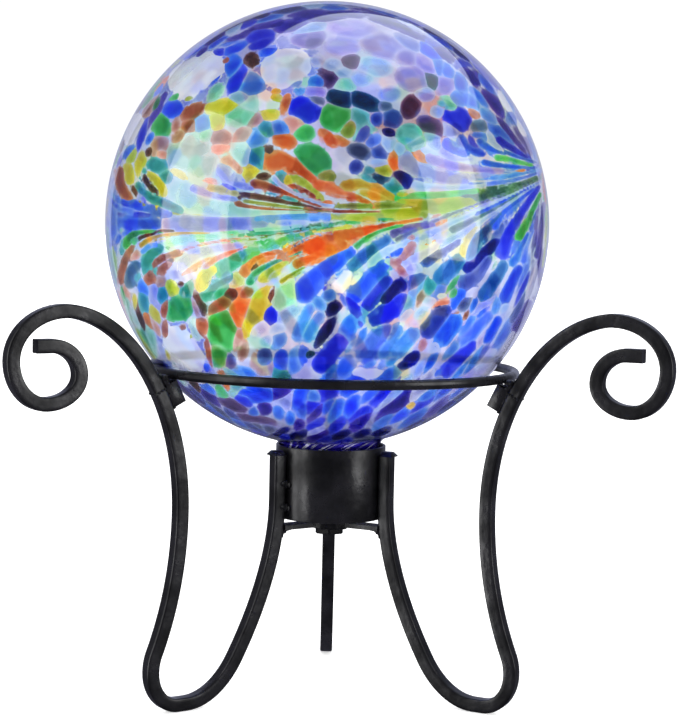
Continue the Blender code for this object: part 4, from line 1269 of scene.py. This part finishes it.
def camera_axes():
    """The camera's right, up and ahead."""
    ahead = np.array([math.sin(CAMERA_YAW) * math.cos(CAMERA_PITCH),
                      math.cos(CAMERA_YAW) * math.cos(CAMERA_PITCH), -math.sin(CAMERA_PITCH)])
    right = np.array([math.cos(CAMERA_YAW), -math.sin(CAMERA_YAW), 0])
    up = np.cross(right, ahead)
    return (right * math.cos(CAMERA_ROLL) + up * math.sin(CAMERA_ROLL),
            up * math.cos(CAMERA_ROLL) - right * math.sin(CAMERA_ROLL), ahead)


CAMERA_FROM_BALL = np.array([0.0, -CAMERA_DISTANCE, CAMERA_ABOVE_BALL])


def as_seen(points):
    """Where points of the ball appear from the front, right of and above its middle, and if they face it."""
    right, up, ahead = camera_axes()
    ray = points - CAMERA_FROM_BALL
    depth = ray @ ahead
    across = FRAME_MIDDLE[0] + FOCAL_PIXELS * (ray @ right) / depth
    down = FRAME_MIDDLE[1] - FOCAL_PIXELS * (ray @ up) / depth
    seen = np.stack([(across - SEEN_MIDDLE[0]), (SEEN_MIDDLE[1] - down)], 1) * SEEN_PIXEL
    return seen, np.einsum("ij,ij->i", points, -ray) > 0


def on_ball(seen):
    """The point of the ball's front that appears at a place."""
    right, up, ahead = camera_axes()
    across = seen[0] / SEEN_PIXEL + SEEN_MIDDLE[0] - FRAME_MIDDLE[0]
    above = SEEN_MIDDLE[1] - FRAME_MIDDLE[1] - seen[1] / SEEN_PIXEL
    ray = ahead + right * across / FOCAL_PIXELS - up * above / FOCAL_PIXELS
    ray /= np.linalg.norm(ray)
    along = -CAMERA_FROM_BALL @ ray
    miss = GLOBE_RADIUS**2 - (CAMERA_FROM_BALL @ CAMERA_FROM_BALL - along**2)
    return CAMERA_FROM_BALL + ray * (along - math.sqrt(max(miss, 0)))


def placed_chips():
    """Placed chips: places, rows that turn an offset into shares of the half axes, widths and glass."""
    places, rows, widths, glass = [], [], [], []
    for name, chips in SEEN_CHIPS.items():
        for x, y, length, width, tilt in chips:
            turn = math.radians(tilt)
            along = np.array([math.cos(turn), math.sin(turn)]) / (length * HALF_MM)
            across = np.array([-math.sin(turn), math.cos(turn)]) / (width * HALF_MM)
            places.append((x * MM, y * MM))
            rows.append((along, across))
            widths.append(width * 0.5)
            glass.append(name)
    return np.array(places), np.array(rows), np.array(widths), glass


def stream_lines():
    """The streams: points along each with the half widths there, the middle widths and the glass."""
    share = np.linspace(0, 1, STREAM_STEPS)
    lines, halves, widths, glass = [], [], [], []
    for name, streams in SEEN_STREAMS.items():
        for stream in streams:
            start, bend, end = np.array(stream[:6]).reshape(3, 2) * MM
            handle = 2 * bend - (start + end) / 2
            line = (np.outer((1 - share) ** 2, start) + np.outer(2 * share * (1 - share), handle)
                    + np.outer(share**2, end))
            lines.append(line)
            halves.append((stream[6] + (stream[7] - stream[6]) * share) * HALF_MM)
            widths.append((stream[6] + stream[7]) * 0.25)
            glass.append(name)
    return np.array(lines), np.array(halves), np.array(widths), glass


def stream_reach(seen, lines, halves):
    """Each point's share of the way out from each stream's middle line to its side."""
    reach = np.full((len(seen), len(lines)), FARTHEST)
    for step in range(STREAM_STEPS - 1):
        start, way = lines[:, step], lines[:, step + 1] - lines[:, step]
        offset = seen[:, None, :] - start[None, :, :]
        along = np.clip((offset * way).sum(2) / (way * way).sum(1), 0, 1)
        off = np.hypot(offset[..., 0] - along * way[:, 0], offset[..., 1] - along * way[:, 1])
        half = halves[:, step] + along * (halves[:, step + 1] - halves[:, step])
        reach = np.minimum(reach, off / half)
    return reach


# Loose chips: how far each strays from an even spread, how near placed ones they may start, how far the
# knots draw them out and how strongly, and their half size in metres
LOOSE_STRAY = 0.022
LOOSE_CLEAR = 1.12
KNOT_SPREAD = 0.38
KNOT_PULL = 1.4
SWIRL = 0.45
SWIRL_SHARE = 0.35
LOOSE_HALF = 0.0074
LOOSE_OVERLAP = 1.1
LOOSE_DEEP = 0.03
# Over this height and with the knots this far off, the glass hardly flowed, and chips lie any way round
STILL_OVER = 0.15
STILL_NEARNESS = 0.35
STILL_RISE = 0.3
FULL_TURN = 6.28
# Length to width: the least, what chance adds, what the lower half adds and what the knots add from where on
STRETCH_LEAST, STRETCH_CHANCE, STRETCH_LOW = 1.15, 0.35, 0.65
STRETCH_KNOTS, STRETCH_KNOTS_FROM = 2.6, 0.25
SIZE_LEAST, SIZE_CHANCE = 0.8, 0.5
# How far the mixes of glass stray into each other's places
MIX_STRAY = 0.12


def aim_at(azimuth, elevation):
    """The direction at an azimuth, from the front towards +X, and an elevation, in degrees."""
    a, e = math.radians(azimuth), math.radians(elevation)
    return math.sin(a) * math.cos(e), -math.cos(a) * math.cos(e), math.sin(e)


def loose_chips(placed):
    """Chips over the rest of the ball, drawn out along the flow of the glass."""
    chance = np.random.RandomState(LOOSE_SEED)
    count = np.arange(LOOSE_CHIPS) + 0.5
    height = 1 - 2 * count / LOOSE_CHIPS
    swing = count * math.pi * (3 - math.sqrt(5))
    around = np.sqrt(1 - height**2)
    aims = np.stack([around * np.cos(swing), around * np.sin(swing), height], 1)
    aims += chance.normal(0, LOOSE_STRAY, aims.shape)
    aims /= np.linalg.norm(aims, axis=1)[:, None]
    seen, faces = as_seen(aims * GLOBE_RADIUS)
    offset = seen[:, None, :] - placed[0][None, :, :]
    reach = np.linalg.norm(np.einsum("mij,nmj->nmi", placed[1], offset), axis=2).min(1)
    draws = chance.rand(LOOSE_CHIPS, 5)
    kept = ~(faces & (reach < LOOSE_CLEAR))
    knots = np.array([on_ball((x * MM, y * MM)) for x, y in KNOTS]) / GLOBE_RADIUS
    spots = np.array([aim_at(azimuth, elevation) for azimuth, elevation, mix in MIX_PLACES])
    places, rows, widths, glass = [], [], [], []
    for aim, draw in zip(aims[kept], draws[kept]):
        nearness = np.exp(-np.arccos(np.clip(knots @ aim, -1, 1)) / KNOT_SPREAD)
        flow = (knots[0] - aim) * nearness[0] * KNOT_PULL - (aim - knots[1]) * nearness[1] * KNOT_PULL
        flow = flow + np.array([SWIRL * -aim[1], SWIRL * aim[0], 1.0]) * SWIRL_SHARE
        flow -= aim * (flow @ aim)
        if aim[2] > STILL_OVER and nearness.max() < STILL_NEARNESS:
            turn = draw[0] * FULL_TURN
            flow = np.cross(aim, [math.cos(turn), math.sin(turn), STILL_RISE])
        flow /= np.linalg.norm(flow)
        aside = np.cross(aim, flow)
        stretch = STRETCH_LEAST + STRETCH_CHANCE * draw[1] + (STRETCH_LOW if aim[2] < 0 else 0)
        stretch += STRETCH_KNOTS * max(nearness.max() - STRETCH_KNOTS_FROM, 0)
        base = LOOSE_HALF * (SIZE_LEAST + SIZE_CHANCE * draw[2]) * LOOSE_OVERLAP
        half_length, half_width = base * math.sqrt(stretch), base / math.sqrt(stretch)
        places.append(aim * GLOBE_RADIUS)
        rows.append((flow / half_length, aside / half_width, aim / LOOSE_DEEP))
        widths.append(half_width * 1000)
        spot = np.argmax(spots @ aim + MIX_STRAY * (draw[3] - 0.5))
        mix = GLASS_MIXES[MIX_PLACES[spot][2]]
        glass.append(mix[int(draw[4] * len(mix))])
    return np.array(places), np.array(rows), np.array(widths), glass


class Chips:
    """All the chips, and how far any point of the ball is inside each."""

    def __init__(self):
        self.placed = placed_chips()
        self.loose = loose_chips(self.placed)
        self.streams = stream_lines()
        self.widths = np.concatenate([self.streams[2], self.placed[2], self.loose[2]])
        self.glass = self.streams[3] + self.placed[3] + self.loose[3]
        self.marked = len(self.streams[3]) + len(self.placed[3])
        self.leads = np.repeat([STREAM_LEAD, PLACED_LEAD, 0],
                               [len(self.streams[3]), len(self.placed[3]), len(self.loose[3])])
        self.colours = np.array([linear(GLASS_COLOURS[name]) for name in self.glass])
        chance = np.random.RandomState(LOOSE_SEED + 1)
        strength = PALEST_SHARE + PALE_SPREAD * chance.rand(len(self.glass))
        self.colours = self.colours**DEPTH * strength[:, None]
        self.colours = np.clip(self.colours, 0, CLEAREST)

    def reaches(self, points):
        """Each point's share of the way out from each chip's middle to its outline."""
        seen, faces = as_seen(points)
        offset = seen[:, None, :] - self.placed[0][None, :, :]
        placed = np.sqrt((np.einsum("mij,nmj->nmi", self.placed[1], offset) ** 2).sum(2))
        placed -= PLACED_LEAD
        placed[~faces] = OUT_OF_REACH
        streams = stream_reach(seen, self.streams[0], self.streams[1]) - STREAM_LEAD
        streams[~faces] = OUT_OF_REACH
        count = len(self.loose[0])
        flat = self.loose[1].reshape(count * 3, 3)
        shift = np.einsum("mij,mj->mi", self.loose[1], self.loose[0]).reshape(-1)
        loose = np.sqrt(((points @ flat.T - shift).reshape(len(points), count, 3) ** 2).sum(2))
        return np.concatenate([streams, placed, loose], 1)

    def nearest(self, points):
        """The four nearest chips of each point, nearest first, and the shares of their reach."""
        chips, reaches = [], []
        for start in range(0, len(points), POINTS_AT_ONCE):
            reach = self.reaches(points[start:start + POINTS_AT_ONCE])
            order = np.argpartition(reach, 3, axis=1)[:, :4]
            near = np.take_along_axis(reach, order, 1)
            rank = np.argsort(near, axis=1)
            chips.append(np.take_along_axis(order, rank, 1))
            reaches.append(np.take_along_axis(near, rank, 1))
        return np.concatenate(chips), np.concatenate(reaches)

    def inward(self, chips, reaches):
        """How far inside its chip's rounded outline each point lies, in millimetres."""
        own = self.widths[chips[:, 0]]
        apart = np.empty((len(chips), 3))
        for index in (1, 2, 3):
            other = self.widths[chips[:, index]]
            apart[:, index - 1] = (reaches[:, index] - reaches[:, 0]) * own * other / (own + other)
        close = apart.min(1)
        blend = np.exp(-(apart - close[:, None]) / CORNER_ROUNDING).sum(1)
        rounded = close - CORNER_ROUNDING * np.log(blend)
        inside = (CHIP_END - self.leads[chips[:, 0]] - reaches[:, 0]) * own
        return inside, rounded

    def pair_reach(self, points, chips):
        """Each point's reach in one chip of its own."""
        found = np.empty(len(points))
        for start in range(0, len(points), POINTS_AT_ONCE):
            part = slice(start, start + POINTS_AT_ONCE)
            reach = self.reaches(points[part])
            found[part] = reach[np.arange(len(reach)), chips[part]]
        return found


# Ground between the chips: the tint of the clear glass, by places as seen from the front in millimetres
GROUND = (222, 226, 250)
GROUND_TINTS = (
    ((-75, 90), 24, (160, 176, 240)), ((-22, 96), 22, (172, 184, 242)), ((-121, 5), 10, (140, 160, 240)),
    ((62, -58), 26, (226, 214, 238)), ((84, -75), 20, (188, 190, 244)),
    ((-58, 30), 26, (205, 238, 226)), ((40, 8), 30, (205, 235, 190)), ((62, 58), 12, (238, 160, 120)),
    ((28, 52), 9, (238, 150, 110)), ((50, -44), 14, (240, 190, 170)), ((20, 30), 20, (235, 228, 225)),
    ((-20, -10), 26, (190, 232, 222)), ((-60, -60), 22, (226, 232, 248)), ((0, 95), 40, (216, 206, 246)),
    ((0, -105), 40, (190, 196, 245)), ((-24, -125), 12, (60, 62, 130)), ((-6, -126), 12, (60, 62, 130)),
    ((12, -126), 12, (60, 62, 130)), ((28, -124), 12, (60, 62, 130)),
)
GROUND_WEIGHT = 0.6
TINT_WEIGHT = 2.2


def ground_colours(points):
    seen, faces = as_seen(points)
    total = np.full(len(points), GROUND_WEIGHT)
    mixed = linear(GROUND)[None, :] * total[:, None]
    for place, spread, tint in GROUND_TINTS:
        off = np.linalg.norm(seen - np.array(place) * MM, axis=1) / (spread * MM)
        weight = TINT_WEIGHT * np.exp(-off**2) * faces
        mixed = mixed + linear(tint)[None, :] * weight[:, None]
        total = total + weight
    return mixed / total[:, None]


GLOBE_FINENESS = 7
# Streams that are less than this half as wide anywhere get finer triangles
NARROW_STREAM = 0.0011
# and so do the triangles beside them, by so much more half width and share of the way out
STREAM_MARGIN = 0.0004
STREAM_NEAR = 1.1
FACES_AT_ONCE = 4000
# A border cuts a triangle's side between these shares of its length
CUT_RANGE = (0.06, 0.94)
NEARLY_NOTHING = 1e-12
# The ball of triangles is open this far round its lowest point, where it is drawn down to the neck's mouth
OPEN_ANGLE = math.radians(6)
# A point counts as the flare's from this share of the flare's height and to this angle past its start
FLARE_SHARE = 0.9999
FLARE_PAST = 0.002


def cut_ball(name, subdivisions, radius, up_axis):
    """A ball of small triangles, open at the bottom where the neck starts."""
    deselect_all()
    bpy.ops.mesh.primitive_ico_sphere_add(subdivisions=subdivisions, radius=radius, location=(0, 0, 0))
    ball = named(name)
    bpy.ops.object.mode_set(mode="EDIT")
    bpy.ops.mesh.select_all(action="SELECT")
    bpy.ops.mesh.bisect(plane_co=-up_axis * radius * math.cos(OPEN_ANGLE), plane_no=up_axis,
                        use_fill=False, clear_inner=True, clear_outer=False)
    bpy.ops.mesh.select_all(action="SELECT")
    bpy.ops.mesh.quads_convert_to_tris()
    bpy.ops.mesh.normals_make_consistent(inside=False)
    bpy.ops.object.mode_set(mode="OBJECT")
    return ball


def refine_streams(ball, places, faces, chips):
    """Divides the triangles under the narrow streams, where the first ones are too coarse for them."""
    middles = places[faces].mean(1)
    seen, front = as_seen(middles / np.linalg.norm(middles, axis=1)[:, None] * GLOBE_RADIUS)
    lines, halves = chips.streams[0], chips.streams[1]
    narrow = halves.min(1) < NARROW_STREAM
    near = np.zeros(len(faces), bool)
    for start in range(0, len(faces), FACES_AT_ONCE):
        part = slice(start, start + FACES_AT_ONCE)
        reach = stream_reach(seen[part], lines[narrow], halves[narrow] + STREAM_MARGIN)
        near[part] = (reach < STREAM_NEAR).any(1)
    near &= front
    bpy.ops.object.mode_set(mode="EDIT")
    bpy.ops.mesh.select_mode(type="FACE")
    bpy.ops.mesh.select_all(action="DESELECT")
    edit = bmesh.from_edit_mesh(ball.data)
    for face in edit.faces:
        face.select = bool(near[face.index])
    edit.select_flush_mode()
    bmesh.update_edit_mesh(ball.data)
    bpy.ops.mesh.subdivide(number_cuts=1)
    bpy.ops.mesh.select_all(action="SELECT")
    bpy.ops.mesh.quads_convert_to_tris()
    bpy.ops.object.mode_set(mode="OBJECT")
    return ball_arrays(ball)


def ball_arrays(ball):
    mesh = ball.data
    places = np.empty(len(mesh.vertices) * 3)
    mesh.vertices.foreach_get("co", places)
    corners = np.empty(len(mesh.loops), dtype=np.int32)
    mesh.loops.foreach_get("vertex_index", corners)
    return places.reshape(-1, 3), corners.reshape(-1, 3)


def split_at_borders(places, faces, chips):
    """Cuts each triangle that two or three chips share along their border, so a face is of one chip."""
    aims = places / np.linalg.norm(places, axis=1)[:, None] * GLOBE_RADIUS
    nearest, reaches = chips.nearest(aims)
    first, near = nearest[:, 0], reaches[:, 0]
    labels = first[faces]
    whole = (labels[:, 0] == labels[:, 1]) & (labels[:, 1] == labels[:, 2])
    three = (labels != np.roll(labels, 1, axis=1)).all(1)
    mixed = faces[~whole]
    ends = np.concatenate([mixed[:, [0, 1]], mixed[:, [1, 2]], mixed[:, [2, 0]]])
    ends = np.sort(ends[first[ends[:, 0]] != first[ends[:, 1]]], axis=1)
    ends = np.unique(ends, axis=0)
    left, right = ends[:, 0], ends[:, 1]
    own_left = near[left] - chips.pair_reach(aims[left], first[right])
    own_right = chips.pair_reach(aims[right], first[left]) - near[right]
    share = np.clip(own_left / (own_left - own_right - NEARLY_NOTHING), *CUT_RANGE)
    cut = aims[left] * (1 - share)[:, None] + aims[right] * share[:, None]
    cut *= GLOBE_RADIUS / np.linalg.norm(cut, axis=1)[:, None]
    number = {(a, b): len(places) + index for index, (a, b) in enumerate(ends.tolist())}

    def between(a, b):
        return number[(a, b) if a < b else (b, a)]

    new_faces, new_labels = [faces[whole]], [labels[whole][:, 0]]
    extra, extra_labels = [], []
    middles = []
    for (a, b, c), is_three in zip(mixed.tolist(), three[~whole].tolist()):
        if is_three:
            ab, bc, ca = between(a, b), between(b, c), between(c, a)
            g = len(places) + len(ends) + len(middles)
            middles.append((ab, bc, ca))
            extra += [(a, ab, g), (a, g, ca), (b, bc, g), (b, g, ab), (c, ca, g), (c, g, bc)]
            extra_labels += [first[a]] * 2 + [first[b]] * 2 + [first[c]] * 2
            continue
        if first[a] == first[b]:
            a, b, c = c, a, b
        elif first[a] == first[c]:
            a, b, c = b, c, a
        ab, ca = between(a, b), between(c, a)
        extra += [(a, ab, ca), (ab, b, c), (ab, c, ca)]
        extra_labels += [first[a], first[b], first[b]]
    every = np.concatenate([aims, cut])
    if middles:
        middle = every[np.array(middles)].mean(1)
        middle *= GLOBE_RADIUS / np.linalg.norm(middle, axis=1)[:, None]
        every = np.concatenate([every, middle])
    new_nearest, new_reaches = chips.nearest(every[len(places):])
    nearest = np.concatenate([nearest, new_nearest])
    owner, other = nearest[:, 0], nearest[:, 1]
    reaches = np.concatenate([reaches, new_reaches])
    inside, rounded = chips.inward(nearest, reaches)
    edge = np.minimum(inside, rounded)
    glass = np.array(chips.glass)
    over = reaches[:, 1] + chips.leads[other]
    melted = (inside > rounded) & (np.maximum(owner, other) < chips.marked)
    alike = melted & (glass[owner] == glass[other]) & (over < MELTED_REACH)
    melted = alike | (melted & (over < MIXED_REACH))
    edge[alike] = inside[alike]
    # A narrow chip is as deep in its middle as a wide one
    edge *= np.maximum(1, FULL_DEPTH / chips.widths[owner])
    edge += np.where(owner < len(chips.streams[3]), STREAM_EDGE, CHIP_EDGE)
    rim = ground_colours(every)
    rim[glass[owner] == "white"] = linear(WHITE_RIM)
    rim[melted] = (chips.colours[owner][melted] + chips.colours[other][melted]) / 2
    faces_out = np.concatenate(new_faces + [np.array(extra)])
    labels_out = np.concatenate(new_labels + [np.array(extra_labels)])
    return every, faces_out, labels_out, edge, rim


def into_globe(aims, up_axis, inset):
    """Moves the ball's lowest part to the flare and the neck, inset by so much inside the outer face."""
    radius = GLOBE_RADIUS - inset
    unit = aims / np.linalg.norm(aims, axis=1)[:, None]
    angle = np.arccos(np.clip(-unit @ up_axis, -1, 1))
    flare_turn = math.pi / 2 - FLARE_START
    flare_length = FLARE_RADIUS * flare_turn
    fine_until = FLARE_START - flare_length / GLOBE_RADIUS
    neck_length = MOUTH_DOWN - FLARE_DOWN
    run = np.where(angle > fine_until, (FLARE_START - angle) * GLOBE_RADIUS,
                   flare_length + (fine_until - angle) / (fine_until - OPEN_ANGLE) * neck_length)
    bend = np.clip(run / FLARE_RADIUS, 0, flare_turn)
    turn = math.pi / 2 + FLARE_START + bend
    rho = FLARE_RHO + (FLARE_RADIUS + inset) * np.cos(turn)
    down = FLARE_DOWN - (FLARE_RADIUS + inset) * np.sin(turn) + np.maximum(run - flare_length, 0)
    aside = unit - np.outer(unit @ up_axis, up_axis)
    aside /= np.maximum(np.linalg.norm(aside, axis=1), 1e-9)[:, None]
    below = angle < FLARE_START
    places = unit * radius
    places[below] = (aside * rho[:, None] - np.outer(down, up_axis))[below]
    return places


def make_globe():
    up_axis = Vector((-math.sin(GLOBE_LEAN), 0, math.cos(GLOBE_LEAN)))
    axis = np.array(up_axis)
    chips = Chips()
    ball = cut_ball("glass_globe", GLOBE_FINENESS, GLOBE_RADIUS, up_axis)
    places, faces = refine_streams(ball, *ball_arrays(ball), chips)
    aims, faces, labels, edge, rim = split_at_borders(places, faces, chips)
    outer = into_globe(aims, axis, 0)
    mesh = bpy.data.meshes.new("glass_globe_mesh")
    mesh.from_pydata((outer + np.array(GLOBE_CENTRE)).tolist(), [], faces.tolist())
    chip = mesh.attributes.new("chip", "FLOAT_COLOR", "CORNER")
    colours = np.repeat(np.c_[chips.colours[labels], np.ones(len(labels))], 3, axis=0)
    chip.data.foreach_set("color", colours.astype(np.float32).ravel())
    ground = mesh.attributes.new("rim", "FLOAT_COLOR", "POINT")
    ground.data.foreach_set("color", np.c_[rim, np.ones(len(rim))].astype(np.float32).ravel())
    inward = mesh.attributes.new("edge", "FLOAT", "POINT")
    inward.data.foreach_set("value", edge.astype(np.float32))
    old = ball.data
    ball.data = mesh
    bpy.data.meshes.remove(old)
    mesh.name = "glass_globe"
    mesh.materials.append(chip_glass())
    mesh.materials.append(clear_glass())

    wall = cut_ball("inner_wall", GLOBE_FINENESS - 1, GLOBE_RADIUS, up_axis)
    inner = into_globe(ball_arrays(wall)[0], axis, GLASS_WALL)
    wall.data.vertices.foreach_set("co", (inner + np.array(GLOBE_CENTRE)).ravel())
    wall.data.flip_normals()
    wall.data.materials.append(ball.data.materials[1])
    deselect_all()
    ball.select_set(True)
    wall.select_set(True)
    bpy.context.view_layer.objects.active = ball
    bpy.ops.object.join()
    bpy.ops.object.mode_set(mode="EDIT")
    bpy.ops.mesh.select_mode(type="EDGE")
    bpy.ops.mesh.select_all(action="DESELECT")
    bpy.ops.mesh.select_non_manifold(extend=False, use_wire=False, use_boundary=True,
                                     use_multi_face=False, use_non_contiguous=False, use_verts=False)
    bpy.ops.mesh.bridge_edge_loops()
    bpy.ops.object.mode_set(mode="OBJECT")
    ball = bpy.context.object
    smooth_globe(ball, axis)
    finish_piece(ball, "globe", slot="glass")


def smooth_globe(ball, axis):
    """Gives the ball and its neck the exact slope of the blown surface, so that small faces don't show."""
    mesh = ball.data
    mesh.shade_smooth()
    places = np.empty(len(mesh.vertices) * 3)
    mesh.vertices.foreach_get("co", places)
    places = places.reshape(-1, 3) - np.array(GLOBE_CENTRE)
    down = -(places @ axis)
    aside = places + np.outer(down, axis)
    rho = np.linalg.norm(aside, axis=1)
    away = np.linalg.norm(places, axis=1)
    below = down > GLOBE_RADIUS * math.cos(FLARE_START) * FLARE_SHARE
    below &= np.arctan2(rho, down) < FLARE_START + FLARE_PAST
    outward = places / away[:, None]
    to_flare = aside * (FLARE_RHO / np.maximum(rho, 1e-9))[:, None] - aside
    to_flare -= np.outer(FLARE_DOWN - np.minimum(down, FLARE_DOWN), axis)
    to_flare /= np.maximum(np.linalg.norm(to_flare, axis=1), 1e-9)[:, None]
    outward[below] = to_flare[below]
    inner = np.where(below, rho, away) < np.where(below, NECK_RADIUS, GLOBE_RADIUS) - GLASS_WALL / 2
    flare_gap = np.hypot(rho - FLARE_RHO, np.minimum(down, FLARE_DOWN) - FLARE_DOWN)
    inner = np.where(below, flare_gap > FLARE_RADIUS + GLASS_WALL / 2, inner)
    outward[inner] *= -1
    mesh.normals_split_custom_set_from_vertices(outward.tolist())


# Studio


def make_camera():
    data = bpy.data.cameras.new("camera")
    data.lens = LENS_MM
    data.sensor_width = 36
    camera = bpy.data.objects.new("camera", data)
    bpy.context.scene.collection.objects.link(camera)
    right, up, ahead = (Vector(axis) for axis in camera_axes())
    turn = Matrix((right, up, -ahead)).transposed().to_4x4()
    camera.matrix_world = Matrix.Translation(GLOBE_CENTRE + Vector(CAMERA_FROM_BALL)) @ turn
    bpy.context.scene.camera = camera


WORLD_BRIGHT = 1.03
WORLD_ON_MATT = 1.32
# A dim room, as mirrored in the glass and the bars
WORLD_MIRRORED = (0.10, 0.10, 0.13)
FLOOR_SIZE = 60
FLOOR_BELOW = 0.0002


def make_world():
    world = bpy.data.worlds.new("studio")
    world.use_nodes = True
    bpy.context.scene.world = world
    nodes, links = world.node_tree.nodes, world.node_tree.links
    light = nodes["Background"]
    path = nodes.new("ShaderNodeLightPath")
    mirrored = nodes.new("ShaderNodeMath")
    mirrored.operation = "SUBTRACT"
    mirrored.use_clamp = True
    links.new(path.outputs["Is Glossy Ray"], mirrored.inputs[0])
    links.new(path.outputs["Is Transmission Ray"], mirrored.inputs[1])
    matt = nodes.new("ShaderNodeMix")
    matt.inputs["A"].default_value = WORLD_BRIGHT
    matt.inputs["B"].default_value = WORLD_ON_MATT
    links.new(path.outputs["Is Diffuse Ray"], matt.inputs["Factor"])
    room = nodes.new("ShaderNodeMix")
    room.data_type = "RGBA"
    room.inputs["B"].default_value = (*WORLD_MIRRORED, 1)
    links.new(mirrored.outputs[0], room.inputs["Factor"])
    links.new(matt.outputs["Result"], room.inputs["A"])
    links.new(room.outputs["Result"], light.inputs["Color"])


def make_floor():
    deselect_all()
    bpy.ops.mesh.primitive_plane_add(size=FLOOR_SIZE, location=(0, 0, -FLOOR_BELOW))
    floor = named("floor")
    made, *_, shader = new_material("pale_floor")
    shader.inputs["Base Color"].default_value = (0.9, 0.9, 0.9, 1)
    shader.inputs["Roughness"].default_value = 0.9
    shader.inputs["Specular IOR Level"].default_value = 0.1
    shader.inputs["Emission Color"].default_value = (1, 1, 1, 1)
    shader.inputs["Emission Strength"].default_value = 0.6
    floor.data.materials.append(made)
    floor.visible_glossy = False


def softbox(name, azimuth, elevation, distance, width, height, radiance, tint=(1, 1, 1)):
    """A soft light that faces the ball. Azimuth is from the front towards +X."""
    data = bpy.data.lights.new(name, "AREA")
    data.shape = "RECTANGLE"
    data.size = width
    data.size_y = height
    data.energy = radiance * math.pi * width * height
    data.color = tint
    box = bpy.data.objects.new(name, data)
    bpy.context.scene.collection.objects.link(box)
    out = Vector(aim_at(azimuth, elevation))
    turn = out.to_track_quat("Z", "Y").to_matrix().to_4x4()
    box.matrix_world = Matrix.Translation(GLOBE_CENTRE + out * distance) @ turn
    box.visible_camera = False
    box.visible_transmission = False
    box.visible_diffuse = False


def make_lights():
    softbox("left_strip", -68, 8, 1.3, 0.95, 1.9, 2.1)
    softbox("right_strip", 64, 12, 1.3, 0.7, 1.2, 2.4)
    softbox("overhead", 134, 67, 1.09, 1.1, 1.15, 1.2, (0.82, 0.9, 1.0))
    # Seen in the ball's limb and along the edges of the bars
    softbox("behind", 180, 7, 1.6, 2.4, 1.35, 0.50, (0.68, 0.72, 1.0))


make_camera()
make_world()
make_floor()
make_lights()
make_legs()
make_ring()
make_collar()
make_lids()
make_lugs()
make_welds()
make_globe()
for node in ("base_plate", "hub_boss"):
    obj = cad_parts[node]
    obj.data.materials.clear()
    obj.data.materials.append(STEEL)
bpy.context.scene.view_settings.view_transform = "Standard"
bpy.context.view_layer.update()
